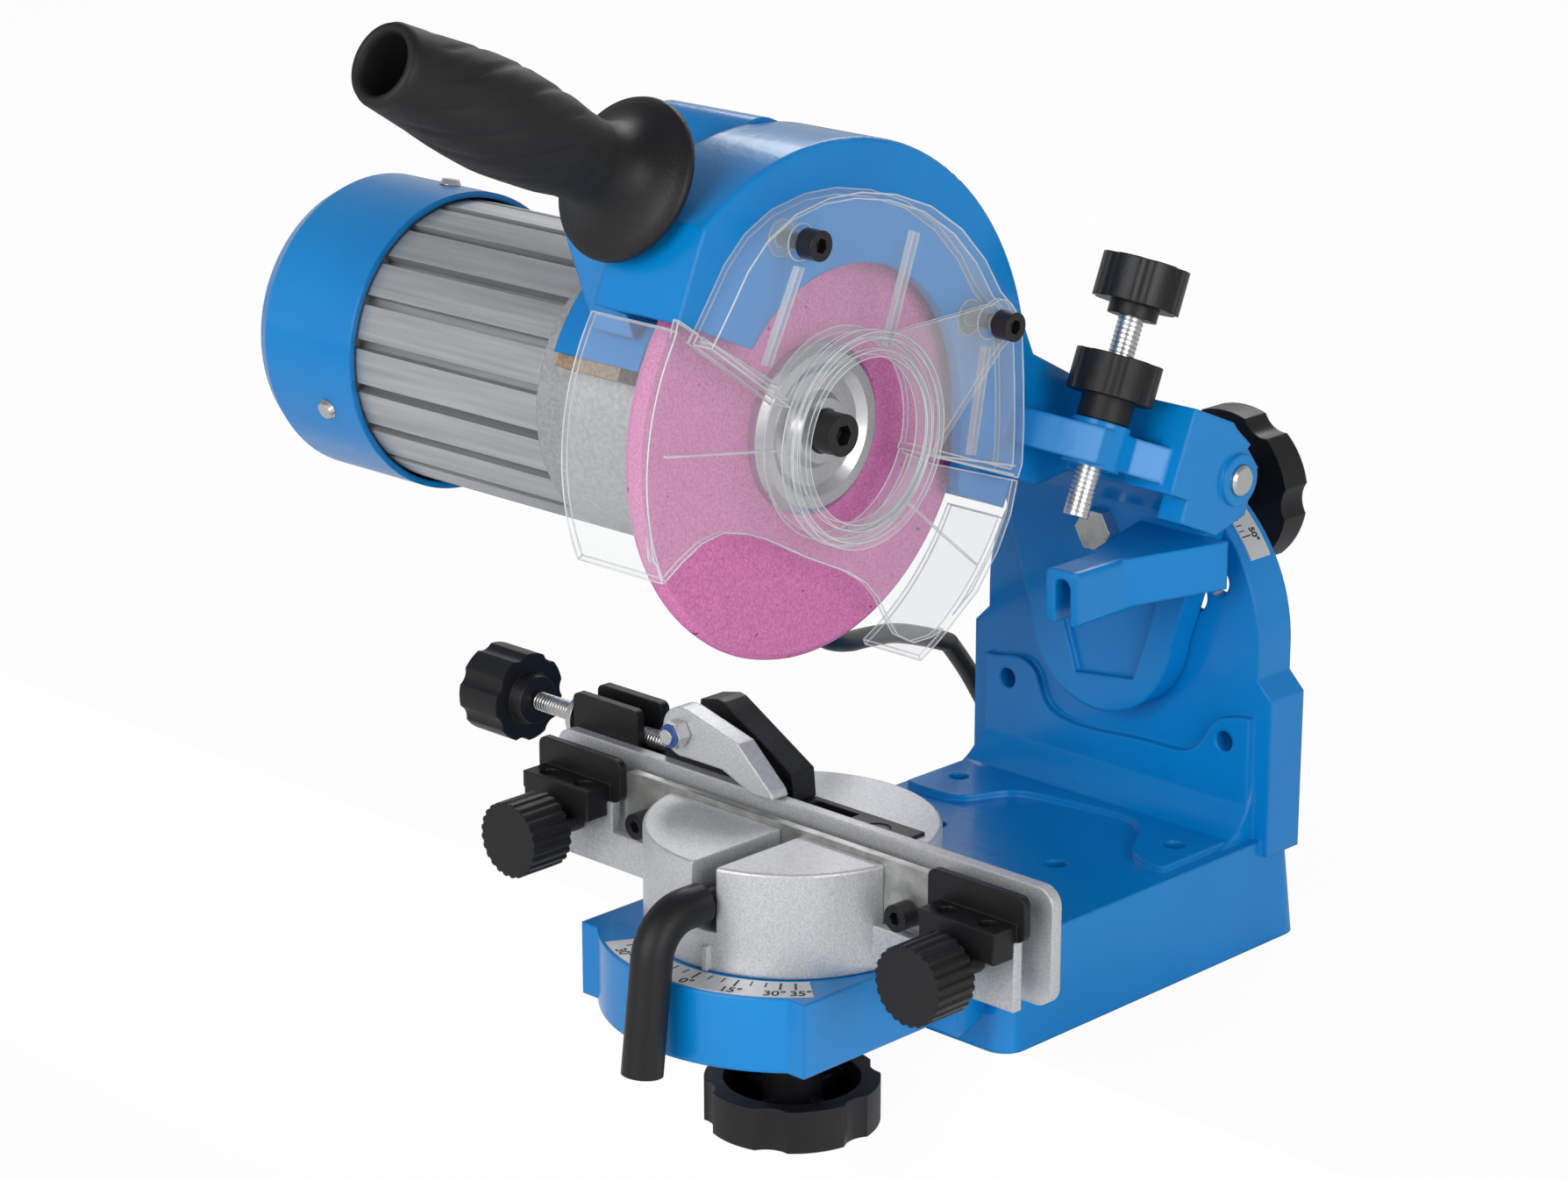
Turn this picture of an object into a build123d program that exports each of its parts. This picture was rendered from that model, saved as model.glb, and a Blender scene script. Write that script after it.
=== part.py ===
from build123d import *
import os
from math import sin, cos, tan, atan2, radians, pi, sqrt

os.makedirs("parts", exist_ok=True)

# Bench-mounted saw chain sharpener: a tilting, hinged grinding head above a swivelling chain vise.
# Frame: origin on the bench midway between the two rear bolt holes, +Z up, the operator at -Y,
# the free face of the grinding wheel towards +X and the motor towards -X. Millimetres.

# ---- fits and gaps ----
GAP = 0.3            # between faces of bodies that move past each other
SEAT = 0.05          # between pieces bolted to each other
RUN = 0.06           # radial running clearance of pins and shafts

# ---- base casting ----
FLOOR_Z = 35.0       # top of the floor and of the deck
CAST_WALL = 5.0      # wall of the hollow casting
BASE_HALF_W = 65.0   # half width on the bench
BASE_DRAFT = 6.0     # draft of the skirt, degrees
BASE_FRONT_Y = -103.0
BASE_BACK_Y = 46.0
BOLT_X = 47.0        # bench and wall bolt holes, each side of the middle
BOLT_R = 3.5
FRONT_BOLT_X = 26.0
FRONT_BOLT_Y = -35.0
WALL_FRONT_Y = 27.0
WALL_BACK_Y = 44.0
WALL_BOLT_Z = 67.0
WALL_STEP_Z = 84.0   # height where the wall becomes narrower
WALL_LOW_HALF_W = 64.0
TILT_Z = 99.0        # tilt axis height, the wall's round top is centred on it
WALL_TOP_R = 58.0
ROOT_R = 22.0        # radius where the wall meets the floor
WINDOW_X = 38.6      # slanting window in the wall beside the tilt bracket
WINDOW_Z = 122.5
PAD_H = 2.5
TILT_SLOT_R = 33.4   # arc slot of the clamp bolt
TILT_SLOT_W = 12.0
TILT_SLOT_FROM = 25.0
TILT_SLOT_TO = 160.0
SPIGOT_R = 9.0       # tilt pivot spigot on the bracket
BOSS_R = 15.0
SCALE_W = 10.0
SCALE_FROM = 30.0    # ends of the tilt scale round the wall's top
SCALE_TO = 112.0
SCALE_T = 0.6

# ---- deck and vise swivel ----
VISE_Y = -131.0      # swivel axis
DECK_R = 61.0
DECK_HALF_W = 48.0
DECK_SKIRT_Z = 11.0
POINTER_ANGLE = 10.0 # the vise pointer and the scale's zero, degrees round from the front
DECK_ANGLE_TO = 40.0 # end of the angle scale, degrees each side of its zero
STUD_R = 5.0

# ---- vise ----
DISC_R = 46.5
DISC_TOP_Z = 69.0
CHANNEL_Z = 50.0     # floor of the rail channel
RAIL_HALF_W = 106.0
RAIL_TOP_Z = 74.5
RAIL_LOW_Z = 37.0
RAIL_T = 4.0
SLOT_Y = -133.5      # middle of the chain slot
SLOT_W = 4.6
CLAMP_T = 3.0        # zinc clamp plate
CLAMP_HALF_W = 67.0
CLAMP_TOP_Z = 71.0
CLAMP_LOW_Z = 47.0
WING_T = 3.5         # cast wings that carry the clamp plate and the guides
WING_HALF_W = 101.0
WING_LOW_Z = 33.0
WING_TOP_Z = 60.0
NOTCH_W = 9.0
CLAMP_SCREW_X = 56.0
CLAMP_SCREW_Z = 56.0

# ---- chain guides ----
GUIDE_X = 86.0
GUIDE_HALF_W = 15.0
THUMB_X = 85.8
THUMB_Z = 51.0
THUMB_R = 12.5
THUMB_L = 16.0

# ---- chain stop ----
ROD_Y = -120.0       # adjusting screw axis
ROD_Z = 75.3
ROD_R = 3.0
TRACK_TOP_Z = 70.0
TRACK_LEFT_X = -104.0
TRACK_RIGHT_X = 38.0
TRACK_BACK_Y = -112.0
FORK_FROM_X = -107.0
FORK_TO_X = -73.0
FORK_TOP_Z = 86.0
CARRIAGE_FROM_X = -60.0
CARRIAGE_TO_X = -12.0
STOP_TRAVEL = 10.0
PAWL_X = -45.0
PAWL_Z = 88.0
PAWL_T = 7.0
PAWL_PIN_R = 2.5

# ---- clamp lever ----
LEVER_X = 7.0        # the lever's notch stands beside the middle of the disc
LEVER_Z = 57.0
LEVER_R = 5.5
LEVER_DROP_Y = VISE_Y - DECK_R - 11.5
LEVER_END_Z = 9.0

# ---- tilt bracket and head pivot ----
PIVOT_Y = 15.0
PIVOT_Z = 160.0
PIN_R = 5.0
EAR_OUT_X = 56.0     # outer faces of the head fork's ears
LUG_HALF_W = 45.6
PLATE_T = 11.0
KNOB_STAND_OFF = 35.0  # the tilt lock knob stands this far behind the wall on its hub
STOP_X = 34.0        # stop arm below the depth screw
STOP_TOP_Z = 138.2
STOP_W = 13.5
STOP_FRONT_Y = -44.0

# ---- head ----
SPINDLE_Y = -127.0
SPINDLE_Z = 195.0
LEAN = 23.0          # lean of the raised head, degrees
HOOD_R = 89.0
HOOD_T = 4.0
HOOD_FRONT_X = 13.0
HOOD_REAR_X = -22.0
WINDOW_R = 52.0
ARM_TOP = 40.0       # top of the arm above the spindle line
ARM_FLOOR = 4.0
DEPTH_X = 35.0       # depth screw axis
DEPTH_BACK = 96.0
DEPTH_R = 4.0
STRAP_LOW = 14.5
STRAP_TOP = 26.0
HANDLE_X = -18.0
HANDLE_BACK = -78.0
HANDLE_UP = 53.0
HANDLE_RISE = 26.6   # above the level
HANDLE_L = 103.0
HANDLE_R = 16.0
FLANGE_R = 25.0

# ---- wheel and spindle ----
WHEEL_R = 72.5
WHEEL_T = 6.0
WHEEL_BORE_R = 11.1
HUB_R = 26.5         # clamping flanges
SHAFT_R = 7.0

# ---- motor ----
MOTOR_R = 46.0
BELL_FRONT_X = -24.0
STATOR_FRONT_X = -68.0
STATOR_REAR_X = -156.0
CAP_R = 49.0
CAP_FRONT_X = -152.0
CAP_REAR_X = -204.0
FIN_COUNT = 20
FIN_DEPTH = 5.0

# ---- guard ----
GUARD_T = 2.0
COVER_R = 33.0       # swinging ring over the hub opening
COVER_HOLE_R = 25.5
GUARD_LOW_X = 15.5   # outer face of the lower face of the guard
GUARD_HIGH_X = 23.0  # outer face of its raised upper face
GUARD_R = 80.2
LOBE_R = 88.3         # side wall of the guard's right lobe


def save(part, name):
    part.label = name
    export_step(part, f"parts/{name}.step")


def head_plane(x):
    """Plane across the head: local x runs back along the arm, local y upwards."""
    return Plane(
        origin=(x, SPINDLE_Y, SPINDLE_Z),
        x_dir=(0, cos(radians(LEAN)), -sin(radians(LEAN))),
        z_dir=(1, 0, 0),
    )


def head_point(x, back, up):
    """World place of a point given in the head's own axes."""
    c, s = cos(radians(LEAN)), sin(radians(LEAN))
    return (x, SPINDLE_Y + back * c + up * s, SPINDLE_Z - back * s + up * c)


def polar(r, angle):
    return (r * cos(radians(angle)), r * sin(radians(angle)))


def wedge(x, y, radius, start, end):
    """Pie piece between two angles; the sketch keeps only what lies in it."""
    corners = [(x, y)]
    for angle in (start, (start + end) / 2, end):
        corners.append((x + radius * cos(radians(angle)), y + radius * sin(radians(angle))))
    Polygon(*corners, align=None, mode=Mode.INTERSECT)


def lobed(radius, lobes, depth):
    """Grip outline with shallow scoops between its lobes, drawn in the current sketch."""
    Circle(radius)
    scoop = radius * 0.32
    with PolarLocations(radius + scoop - depth, lobes):
        Circle(scoop, mode=Mode.SUBTRACT)


# =====================================================================================
# Base casting: hollow floor, round deck under the vise, and the wall that carries the head
# =====================================================================================
deck_back = BASE_FRONT_Y + 12
with BuildPart() as base_casting:
    with BuildSketch(Plane.XY):
        with Locations((0, (BASE_FRONT_Y + BASE_BACK_Y) / 2)):
            RectangleRounded(2 * BASE_HALF_W, BASE_BACK_Y - BASE_FRONT_Y, 8)
    extrude(amount=FLOOR_Z, taper=BASE_DRAFT)
    # deck: straight sides run into the floor, round front
    with BuildSketch(Plane.XY.offset(DECK_SKIRT_Z)):
        with Locations((0, VISE_Y)):
            Circle(DECK_R)
        with Locations((0, VISE_Y + 2 * DECK_HALF_W)):
            Rectangle(4 * DECK_R, 2 * DECK_R, mode=Mode.SUBTRACT)
        with BuildLine():
            Polyline((-DECK_HALF_W, VISE_Y - 45), (DECK_HALF_W, VISE_Y - 45), (DECK_HALF_W + 6, deck_back),
                     (-DECK_HALF_W - 6, deck_back), close=True)
        make_face()
        with Locations((DECK_HALF_W + DECK_R, VISE_Y - 20), (-DECK_HALF_W - DECK_R, VISE_Y - 20)):
            Rectangle(2 * DECK_R, 60, mode=Mode.SUBTRACT)
    extrude(amount=FLOOR_Z - DECK_SKIRT_Z)
    # wall with its round top
    with BuildSketch(Plane.XZ.offset(-WALL_BACK_Y)):
        with Locations((0, TILT_Z)):
            Circle(WALL_TOP_R)
        with Locations((0, (FLOOR_Z - CAST_WALL + TILT_Z) / 2)):
            Rectangle(2 * WALL_TOP_R, TILT_Z - FLOOR_Z + CAST_WALL)
        with BuildLine():
            Polyline((-WALL_LOW_HALF_W, FLOOR_Z - CAST_WALL), (WALL_LOW_HALF_W, FLOOR_Z - CAST_WALL),
                     (WALL_LOW_HALF_W, WALL_STEP_Z), (WALL_TOP_R, WALL_STEP_Z + 6),
                     (-WALL_TOP_R, WALL_STEP_Z + 6), (-WALL_LOW_HALF_W, WALL_STEP_Z), close=True)
        make_face()
    extrude(amount=WALL_BACK_Y - WALL_FRONT_Y)
    # concave root between wall and floor
    with BuildSketch(Plane.YZ.offset(-WALL_TOP_R)):
        with BuildLine():
            l1 = Line((WALL_FRONT_Y + 1, FLOOR_Z - 1), (WALL_FRONT_Y - ROOT_R, FLOOR_Z - 1))
            l2 = Line(l1 @ 1, (WALL_FRONT_Y - ROOT_R, FLOOR_Z))
            l3 = RadiusArc(l2 @ 1, (WALL_FRONT_Y, FLOOR_Z + ROOT_R), -ROOT_R)
            l4 = Line(l3 @ 1, (WALL_FRONT_Y + 1, FLOOR_Z + ROOT_R))
            Line(l4 @ 1, l1 @ 0)
        make_face()
    extrude(amount=2 * WALL_TOP_R)
    # hollow under the floor and the deck
    with BuildSketch(Plane.XY):
        with Locations((0, (BASE_FRONT_Y + BASE_BACK_Y) / 2)):
            RectangleRounded(2 * (BASE_HALF_W - CAST_WALL) - 8, BASE_BACK_Y - BASE_FRONT_Y - 2 * CAST_WALL - 4, 5)
    extrude(amount=FLOOR_Z - CAST_WALL, mode=Mode.SUBTRACT)
    with BuildSketch(Plane.XY.offset(DECK_SKIRT_Z)):
        with Locations((0, VISE_Y)):
            Circle(DECK_R - CAST_WALL)
        with Locations((0, VISE_Y + 2 * DECK_HALF_W)):
            Rectangle(4 * DECK_R, 2 * DECK_R, mode=Mode.SUBTRACT)
        with Locations((DECK_HALF_W + DECK_R - CAST_WALL, VISE_Y), (-DECK_HALF_W - DECK_R + CAST_WALL, VISE_Y)):
            Rectangle(2 * DECK_R, 4 * DECK_R, mode=Mode.SUBTRACT)
    extrude(amount=FLOOR_Z - DECK_SKIRT_Z - CAST_WALL, mode=Mode.SUBTRACT)
    # hollow back of the wall, open to the rear
    with BuildSketch(Plane.XZ.offset(-WALL_BACK_Y)):
        with Locations((0, TILT_Z)):
            Circle(WALL_TOP_R - CAST_WALL)
        with Locations((0, (FLOOR_Z + TILT_Z) / 2)):
            Rectangle(2 * (WALL_TOP_R - CAST_WALL), TILT_Z - FLOOR_Z)
    extrude(amount=WALL_BACK_Y - WALL_FRONT_Y - CAST_WALL - 1, mode=Mode.SUBTRACT)
    # bosses of the tilt pivot and of the bolt holes
    with BuildSketch(Plane.XZ.offset(-WALL_BACK_Y)):
        with Locations((0, TILT_Z)):
            Circle(BOSS_R)
        with Locations((BOLT_X, WALL_BOLT_Z), (-BOLT_X, WALL_BOLT_Z)):
            Circle(BOLT_R + CAST_WALL)
    extrude(amount=WALL_BACK_Y - WALL_FRONT_Y)
    with BuildSketch(Plane.XY):
        with Locations((BOLT_X, 0), (-BOLT_X, 0), (FRONT_BOLT_X, FRONT_BOLT_Y), (-FRONT_BOLT_X, FRONT_BOLT_Y)):
            Circle(BOLT_R + CAST_WALL)
    extrude(amount=FLOOR_Z)
    # swivel boss under the deck
    with BuildSketch(Plane.XY.offset(DECK_SKIRT_Z)):
        with Locations((0, VISE_Y)):
            Circle(BOSS_R)
    extrude(amount=FLOOR_Z - DECK_SKIRT_Z)
    # raised zones of the floor and of the wall, their edges lead round the bolt holes
    merge = sqrt(2 * ROOT_R * PAD_H)
    with BuildSketch(Plane.XY.offset(FLOOR_Z)):
        with BuildLine():
            floor_edge = Spline((-57, -15), (-46, -16), (-34, -13), (-26, 1), (-10, 7), (8, 9.5), (22, 9), (32, 0),
                                (40, -13), (50, -18), (57, -18))
            Polyline(floor_edge @ 1, (57, WALL_FRONT_Y - ROOT_R + merge), (-57, WALL_FRONT_Y - ROOT_R + merge),
                     floor_edge @ 0)
        make_face()
    extrude(amount=PAD_H)
    with BuildSketch(Plane.XZ.offset(-WALL_FRONT_Y)):
        with BuildLine():
            wall_edge = Spline((-57, 74), (-50, 74.5), (-42, 75.5), (-35.5, 72.5), (-30.5, 62), (-20, 57.7), (0, 58),
                               (19, 59), (32, 60.4), (38, 65.5), (43, 73), (50, 76), (57, 77))
            Polyline(wall_edge @ 1, (57, FLOOR_Z + ROOT_R - merge), (-57, FLOOR_Z + ROOT_R - merge), wall_edge @ 0)
        make_face()
    extrude(amount=PAD_H)
    # bolt holes, stud hole, spigot bore and arc slot
    with BuildSketch(Plane.XY.offset(-1)):
        with Locations((BOLT_X, 0), (-BOLT_X, 0), (FRONT_BOLT_X, FRONT_BOLT_Y), (-FRONT_BOLT_X, FRONT_BOLT_Y)):
            Circle(BOLT_R)
        with Locations((0, VISE_Y)):
            Circle(STUD_R + RUN)
    extrude(amount=2 * FLOOR_Z, mode=Mode.SUBTRACT)
    with BuildSketch(Plane.XZ.offset(-WALL_BACK_Y - 1)):
        with Locations((BOLT_X, WALL_BOLT_Z), (-BOLT_X, WALL_BOLT_Z)):
            Circle(BOLT_R)
        with Locations((0, TILT_Z)):
            Circle(SPIGOT_R + RUN)
    extrude(amount=WALL_BACK_Y - WALL_FRONT_Y + PAD_H + 2, mode=Mode.SUBTRACT)
    with BuildSketch(Plane.XZ.offset(-WALL_BACK_Y - 1)):
        with Locations((0, TILT_Z)):
            Circle(TILT_SLOT_R + TILT_SLOT_W / 2)
            Circle(TILT_SLOT_R - TILT_SLOT_W / 2, mode=Mode.SUBTRACT)
        wedge(0, TILT_Z, 3 * TILT_SLOT_R, TILT_SLOT_FROM, TILT_SLOT_TO)
        for slot_end in (TILT_SLOT_FROM, TILT_SLOT_TO):
            with Locations((TILT_SLOT_R * cos(radians(slot_end)), TILT_Z + TILT_SLOT_R * sin(radians(slot_end)))):
                Circle(TILT_SLOT_W / 2)
        # window beside the bracket
        with Locations((WINDOW_X, WINDOW_Z)):
            SlotOverall(16, 10, rotation=118)
    extrude(amount=WALL_BACK_Y - WALL_FRONT_Y + 2, mode=Mode.SUBTRACT)
save(base_casting.part, "base_casting")

# Tilt scale: thin strip riveted over the round top of the wall, on the side the head leans to
with BuildPart() as tilt_scale:
    with BuildSketch(Plane.XZ.offset(-WALL_FRONT_Y - 4)):
        with Locations((0, TILT_Z)):
            Circle(WALL_TOP_R + SEAT + SCALE_T)
            Circle(WALL_TOP_R + SEAT, mode=Mode.SUBTRACT)
        wedge(0, TILT_Z, 2 * WALL_TOP_R, SCALE_FROM, SCALE_TO)
    extrude(amount=-SCALE_W)
save(tilt_scale.part, "tilt_scale")

# Swivel scale: angle strip on the front edge of the deck
with BuildPart() as swivel_scale:
    with BuildSketch(Plane.XY.offset(FLOOR_Z + SEAT)):
        with Locations((0, VISE_Y)):
            Circle(DECK_R - 1)
            Circle(DISC_R + 2, mode=Mode.SUBTRACT)
        wedge(0, VISE_Y, 2 * DECK_R, POINTER_ANGLE - 90 - DECK_ANGLE_TO, POINTER_ANGLE - 90 + DECK_ANGLE_TO)
    extrude(amount=SCALE_T - 0.3)
save(swivel_scale.part, "swivel_scale")


# =====================================================================================
# Vise: turning disc with its rail channel, rails, clamp plate and lever
# =====================================================================================
clamp_front_y = SLOT_Y - SLOT_W / 2 - CLAMP_T        # front face of the clamp plate
rail_front_y = SLOT_Y + SLOT_W / 2                    # front face of the back rail
rail_back_y = rail_front_y + RAIL_T
wing_back_y = clamp_front_y - 0.1                     # the clamp plate rests against the wings
wing_front_y = wing_back_y - WING_T
disc_low_z = FLOOR_Z + GAP
pointer = radians(POINTER_ANGLE)

with BuildPart() as vise_body:
    with BuildSketch(Plane.XY.offset(disc_low_z)):
        with Locations((0, VISE_Y)):
            Circle(DISC_R)
    extrude(amount=DISC_TOP_Z - disc_low_z)
    # cast wings that reach out to the guides
    with BuildSketch(Plane.XZ.offset(-wing_back_y)):
        with BuildLine():
            Polyline((-WING_HALF_W, WING_LOW_Z + 5), (-WING_HALF_W, WING_TOP_Z), (-CLAMP_HALF_W - 2, WING_TOP_Z),
                     (-CLAMP_HALF_W - 2, CLAMP_LOW_Z + 3), (CLAMP_HALF_W + 2, CLAMP_LOW_Z + 3),
                     (CLAMP_HALF_W + 2, WING_TOP_Z), (WING_HALF_W, WING_TOP_Z), (WING_HALF_W, WING_LOW_Z + 5),
                     close=True)
        make_face()
    extrude(amount=WING_T)
    # rail channel across the disc
    with BuildSketch(Plane.XY.offset(CHANNEL_Z)):
        with Locations((0, (wing_back_y + rail_back_y) / 2)):
            Rectangle(2 * DISC_R + 2, rail_back_y - wing_back_y + SEAT)
    extrude(amount=DISC_TOP_Z, mode=Mode.SUBTRACT)
    # notch for the clamp lever, open to the front
    with BuildSketch(Plane.XY.offset(LEVER_Z - NOTCH_W)):
        with Locations((LEVER_X, VISE_Y - DISC_R)):
            Rectangle(NOTCH_W, 2 * (wing_back_y - VISE_Y + DISC_R))
    extrude(amount=DISC_TOP_Z, mode=Mode.SUBTRACT)
    # seat of the stop track in the back half
    with BuildSketch(Plane.XY.offset(TRACK_TOP_Z - 10 - SEAT)):
        with Locations(((TRACK_RIGHT_X - DISC_R - 1) / 2, (rail_back_y + TRACK_BACK_Y) / 2)):
            Rectangle(TRACK_RIGHT_X + DISC_R + 1 + 2 * SEAT, TRACK_BACK_Y - rail_back_y + 2 * SEAT)
    extrude(amount=DISC_TOP_Z, mode=Mode.SUBTRACT)
    # pointer rib at the foot of the front, and the blind bore of the stud
    with Locations(Location((DISC_R * sin(pointer), VISE_Y - DISC_R * cos(pointer), disc_low_z + 4),
                            (0, 0, POINTER_ANGLE))):
        Box(2, 3, 8)
    with BuildSketch(Plane.XY.offset(disc_low_z - 1)):
        with Locations((0, VISE_Y)):
            Circle(STUD_R)
    extrude(amount=13, mode=Mode.SUBTRACT)
    # holes for the thumb screws and the clamp plate's screws
    with BuildSketch(Plane.XZ.offset(-wing_back_y - 1)):
        with Locations((THUMB_X, THUMB_Z), (-THUMB_X, THUMB_Z)):
            Circle(3.0 + RUN)
    extrude(amount=WING_T + 2, mode=Mode.SUBTRACT)
    fillet(vise_body.edges().filter_by(GeomType.CIRCLE).group_by(Axis.Z)[-1], 1.0)
save(vise_body.part, "vise_body")

# Back rail: long plate that the chain's drive links lean on
with BuildPart() as back_rail:
    with BuildSketch(Plane.XZ.offset(-rail_front_y)) as rail_face:
        with Locations((0, (RAIL_TOP_Z + RAIL_LOW_Z) / 2)):
            RectangleRounded(2 * RAIL_HALF_W, RAIL_TOP_Z - RAIL_LOW_Z, 6)
        # the middle is low enough to clear the channel's floor
        with Locations((0, RAIL_LOW_Z)):
            Rectangle(2 * DISC_R + 4, 2 * (CHANNEL_Z - RAIL_LOW_Z + SEAT), mode=Mode.SUBTRACT)
    extrude(amount=-RAIL_T)
save(back_rail.part, "back_rail")

# Clamp plate: zinc plate that the lever's cam pushes against the chain
with BuildPart() as clamp_plate:
    with BuildSketch(Plane.XZ.offset(-clamp_front_y)):
        with Locations((0, (CLAMP_TOP_Z + CLAMP_LOW_Z) / 2 + 2)):
            RectangleRounded(2 * CLAMP_HALF_W, CLAMP_TOP_Z - CLAMP_LOW_Z - 4, 3)
        with Locations((CLAMP_SCREW_X, CLAMP_SCREW_Z), (-CLAMP_SCREW_X, CLAMP_SCREW_Z)):
            Circle(2.5 + GAP)
    extrude(amount=-CLAMP_T)
    with BuildSketch(Plane.XZ.offset(-clamp_front_y + 1)):
        with Locations((CLAMP_SCREW_X, CLAMP_SCREW_Z), (-CLAMP_SCREW_X, CLAMP_SCREW_Z)):
            Circle(2.5 + GAP)
    extrude(amount=-CLAMP_T - 2, mode=Mode.SUBTRACT)
save(clamp_plate.part, "clamp_plate")

# Shoulder screws of the clamp plate, threaded into the back rail
with BuildPart() as clamp_screws:
    with BuildSketch(Plane.XZ.offset(-rail_front_y + SEAT)):
        with Locations((CLAMP_SCREW_X, CLAMP_SCREW_Z), (-CLAMP_SCREW_X, CLAMP_SCREW_Z)):
            Circle(2.5)
    extrude(amount=SLOT_W + CLAMP_T + 2 * GAP)
    with BuildSketch(Plane.XZ.offset(-clamp_front_y + GAP)):
        with Locations((CLAMP_SCREW_X, CLAMP_SCREW_Z), (-CLAMP_SCREW_X, CLAMP_SCREW_Z)):
            Circle(4.3)
    extrude(amount=6)
    with BuildSketch(Plane.XZ.offset(-clamp_front_y + GAP + 3)):
        with Locations((CLAMP_SCREW_X, CLAMP_SCREW_Z), (-CLAMP_SCREW_X, CLAMP_SCREW_Z)):
            RegularPolygon(2.2, 6)
    extrude(amount=4, mode=Mode.SUBTRACT)
save(clamp_screws.part, "clamp_screws")

# Swivel stud: screwed up into the disc, it reaches down through the deck to the lock knob
stud_low_z = -20.0
with BuildPart() as swivel_stud:
    with BuildSketch(Plane.XY.offset(stud_low_z)):
        with Locations((0, VISE_Y)):
            Circle(STUD_R)
    extrude(amount=disc_low_z + 12 - SEAT - stud_low_z)
save(swivel_stud.part, "swivel_stud")

# Swivel lock knob: cup-shaped star knob on a long hub, under the deck
knob_r, knob_low_z, knob_rim_z = 28.0, -31.0, -17.0
with BuildPart() as swivel_lock_knob:
    with BuildSketch(Plane.XY.offset(knob_low_z)):
        with Locations((0, VISE_Y)):
            lobed(knob_r, 6, 2.2)
    extrude(amount=knob_rim_z - knob_low_z)
    with BuildSketch(Plane.XY.offset(knob_low_z + 3)):
        with Locations((0, VISE_Y)):
            Circle(knob_r - 6)
    extrude(amount=knob_rim_z - knob_low_z, mode=Mode.SUBTRACT)
    with BuildSketch(Plane.XY.offset(knob_low_z)):
        with Locations((0, VISE_Y)):
            Circle(9.5)
            with PolarLocations(knob_r / 2, 4):
                Rectangle(knob_r - 9, 2.5)
    extrude(amount=9)
    with BuildSketch(Plane.XY.offset(knob_low_z)):
        with Locations((0, VISE_Y)):
            Circle(9.5)
    extrude(amount=DECK_SKIRT_Z - GAP - knob_low_z)
    with BuildSketch(Plane.XY.offset(knob_low_z + 3)):
        with Locations((0, VISE_Y)):
            Circle(STUD_R + RUN)
    extrude(amount=60, mode=Mode.SUBTRACT)
save(swivel_lock_knob.part, "swivel_lock_knob")

# Clamp lever: shaft in the notch, its inner end is the cam on the clamp plate; bent down to a grip
lever_front_y = VISE_Y - DECK_R - 5.5
lever_path = [(LEVER_X, clamp_front_y - GAP, LEVER_Z), (LEVER_X, lever_front_y, LEVER_Z),
              (LEVER_X, LEVER_DROP_Y, LEVER_END_Z)]
with BuildPart() as clamp_lever:
    with BuildLine() as lever_line:
        FilletPolyline(*lever_path, radius=11)
    with BuildSketch(Plane(origin=lever_path[0], z_dir=(0, -1, 0))):
        Circle(NOTCH_W / 2 - GAP)
    sweep()
    # thick moulded sleeve from the mouth of the notch round the bend and down
    with BuildLine():
        FilletPolyline((LEVER_X, VISE_Y - DISC_R - 1, LEVER_Z), *lever_path[1:], radius=14)
    with BuildSketch(Plane(origin=(LEVER_X, VISE_Y - DISC_R - 1, LEVER_Z), z_dir=(0, -1, 0))):
        Circle(LEVER_R + 1)
    sweep()
save(clamp_lever.part, "clamp_lever")

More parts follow.
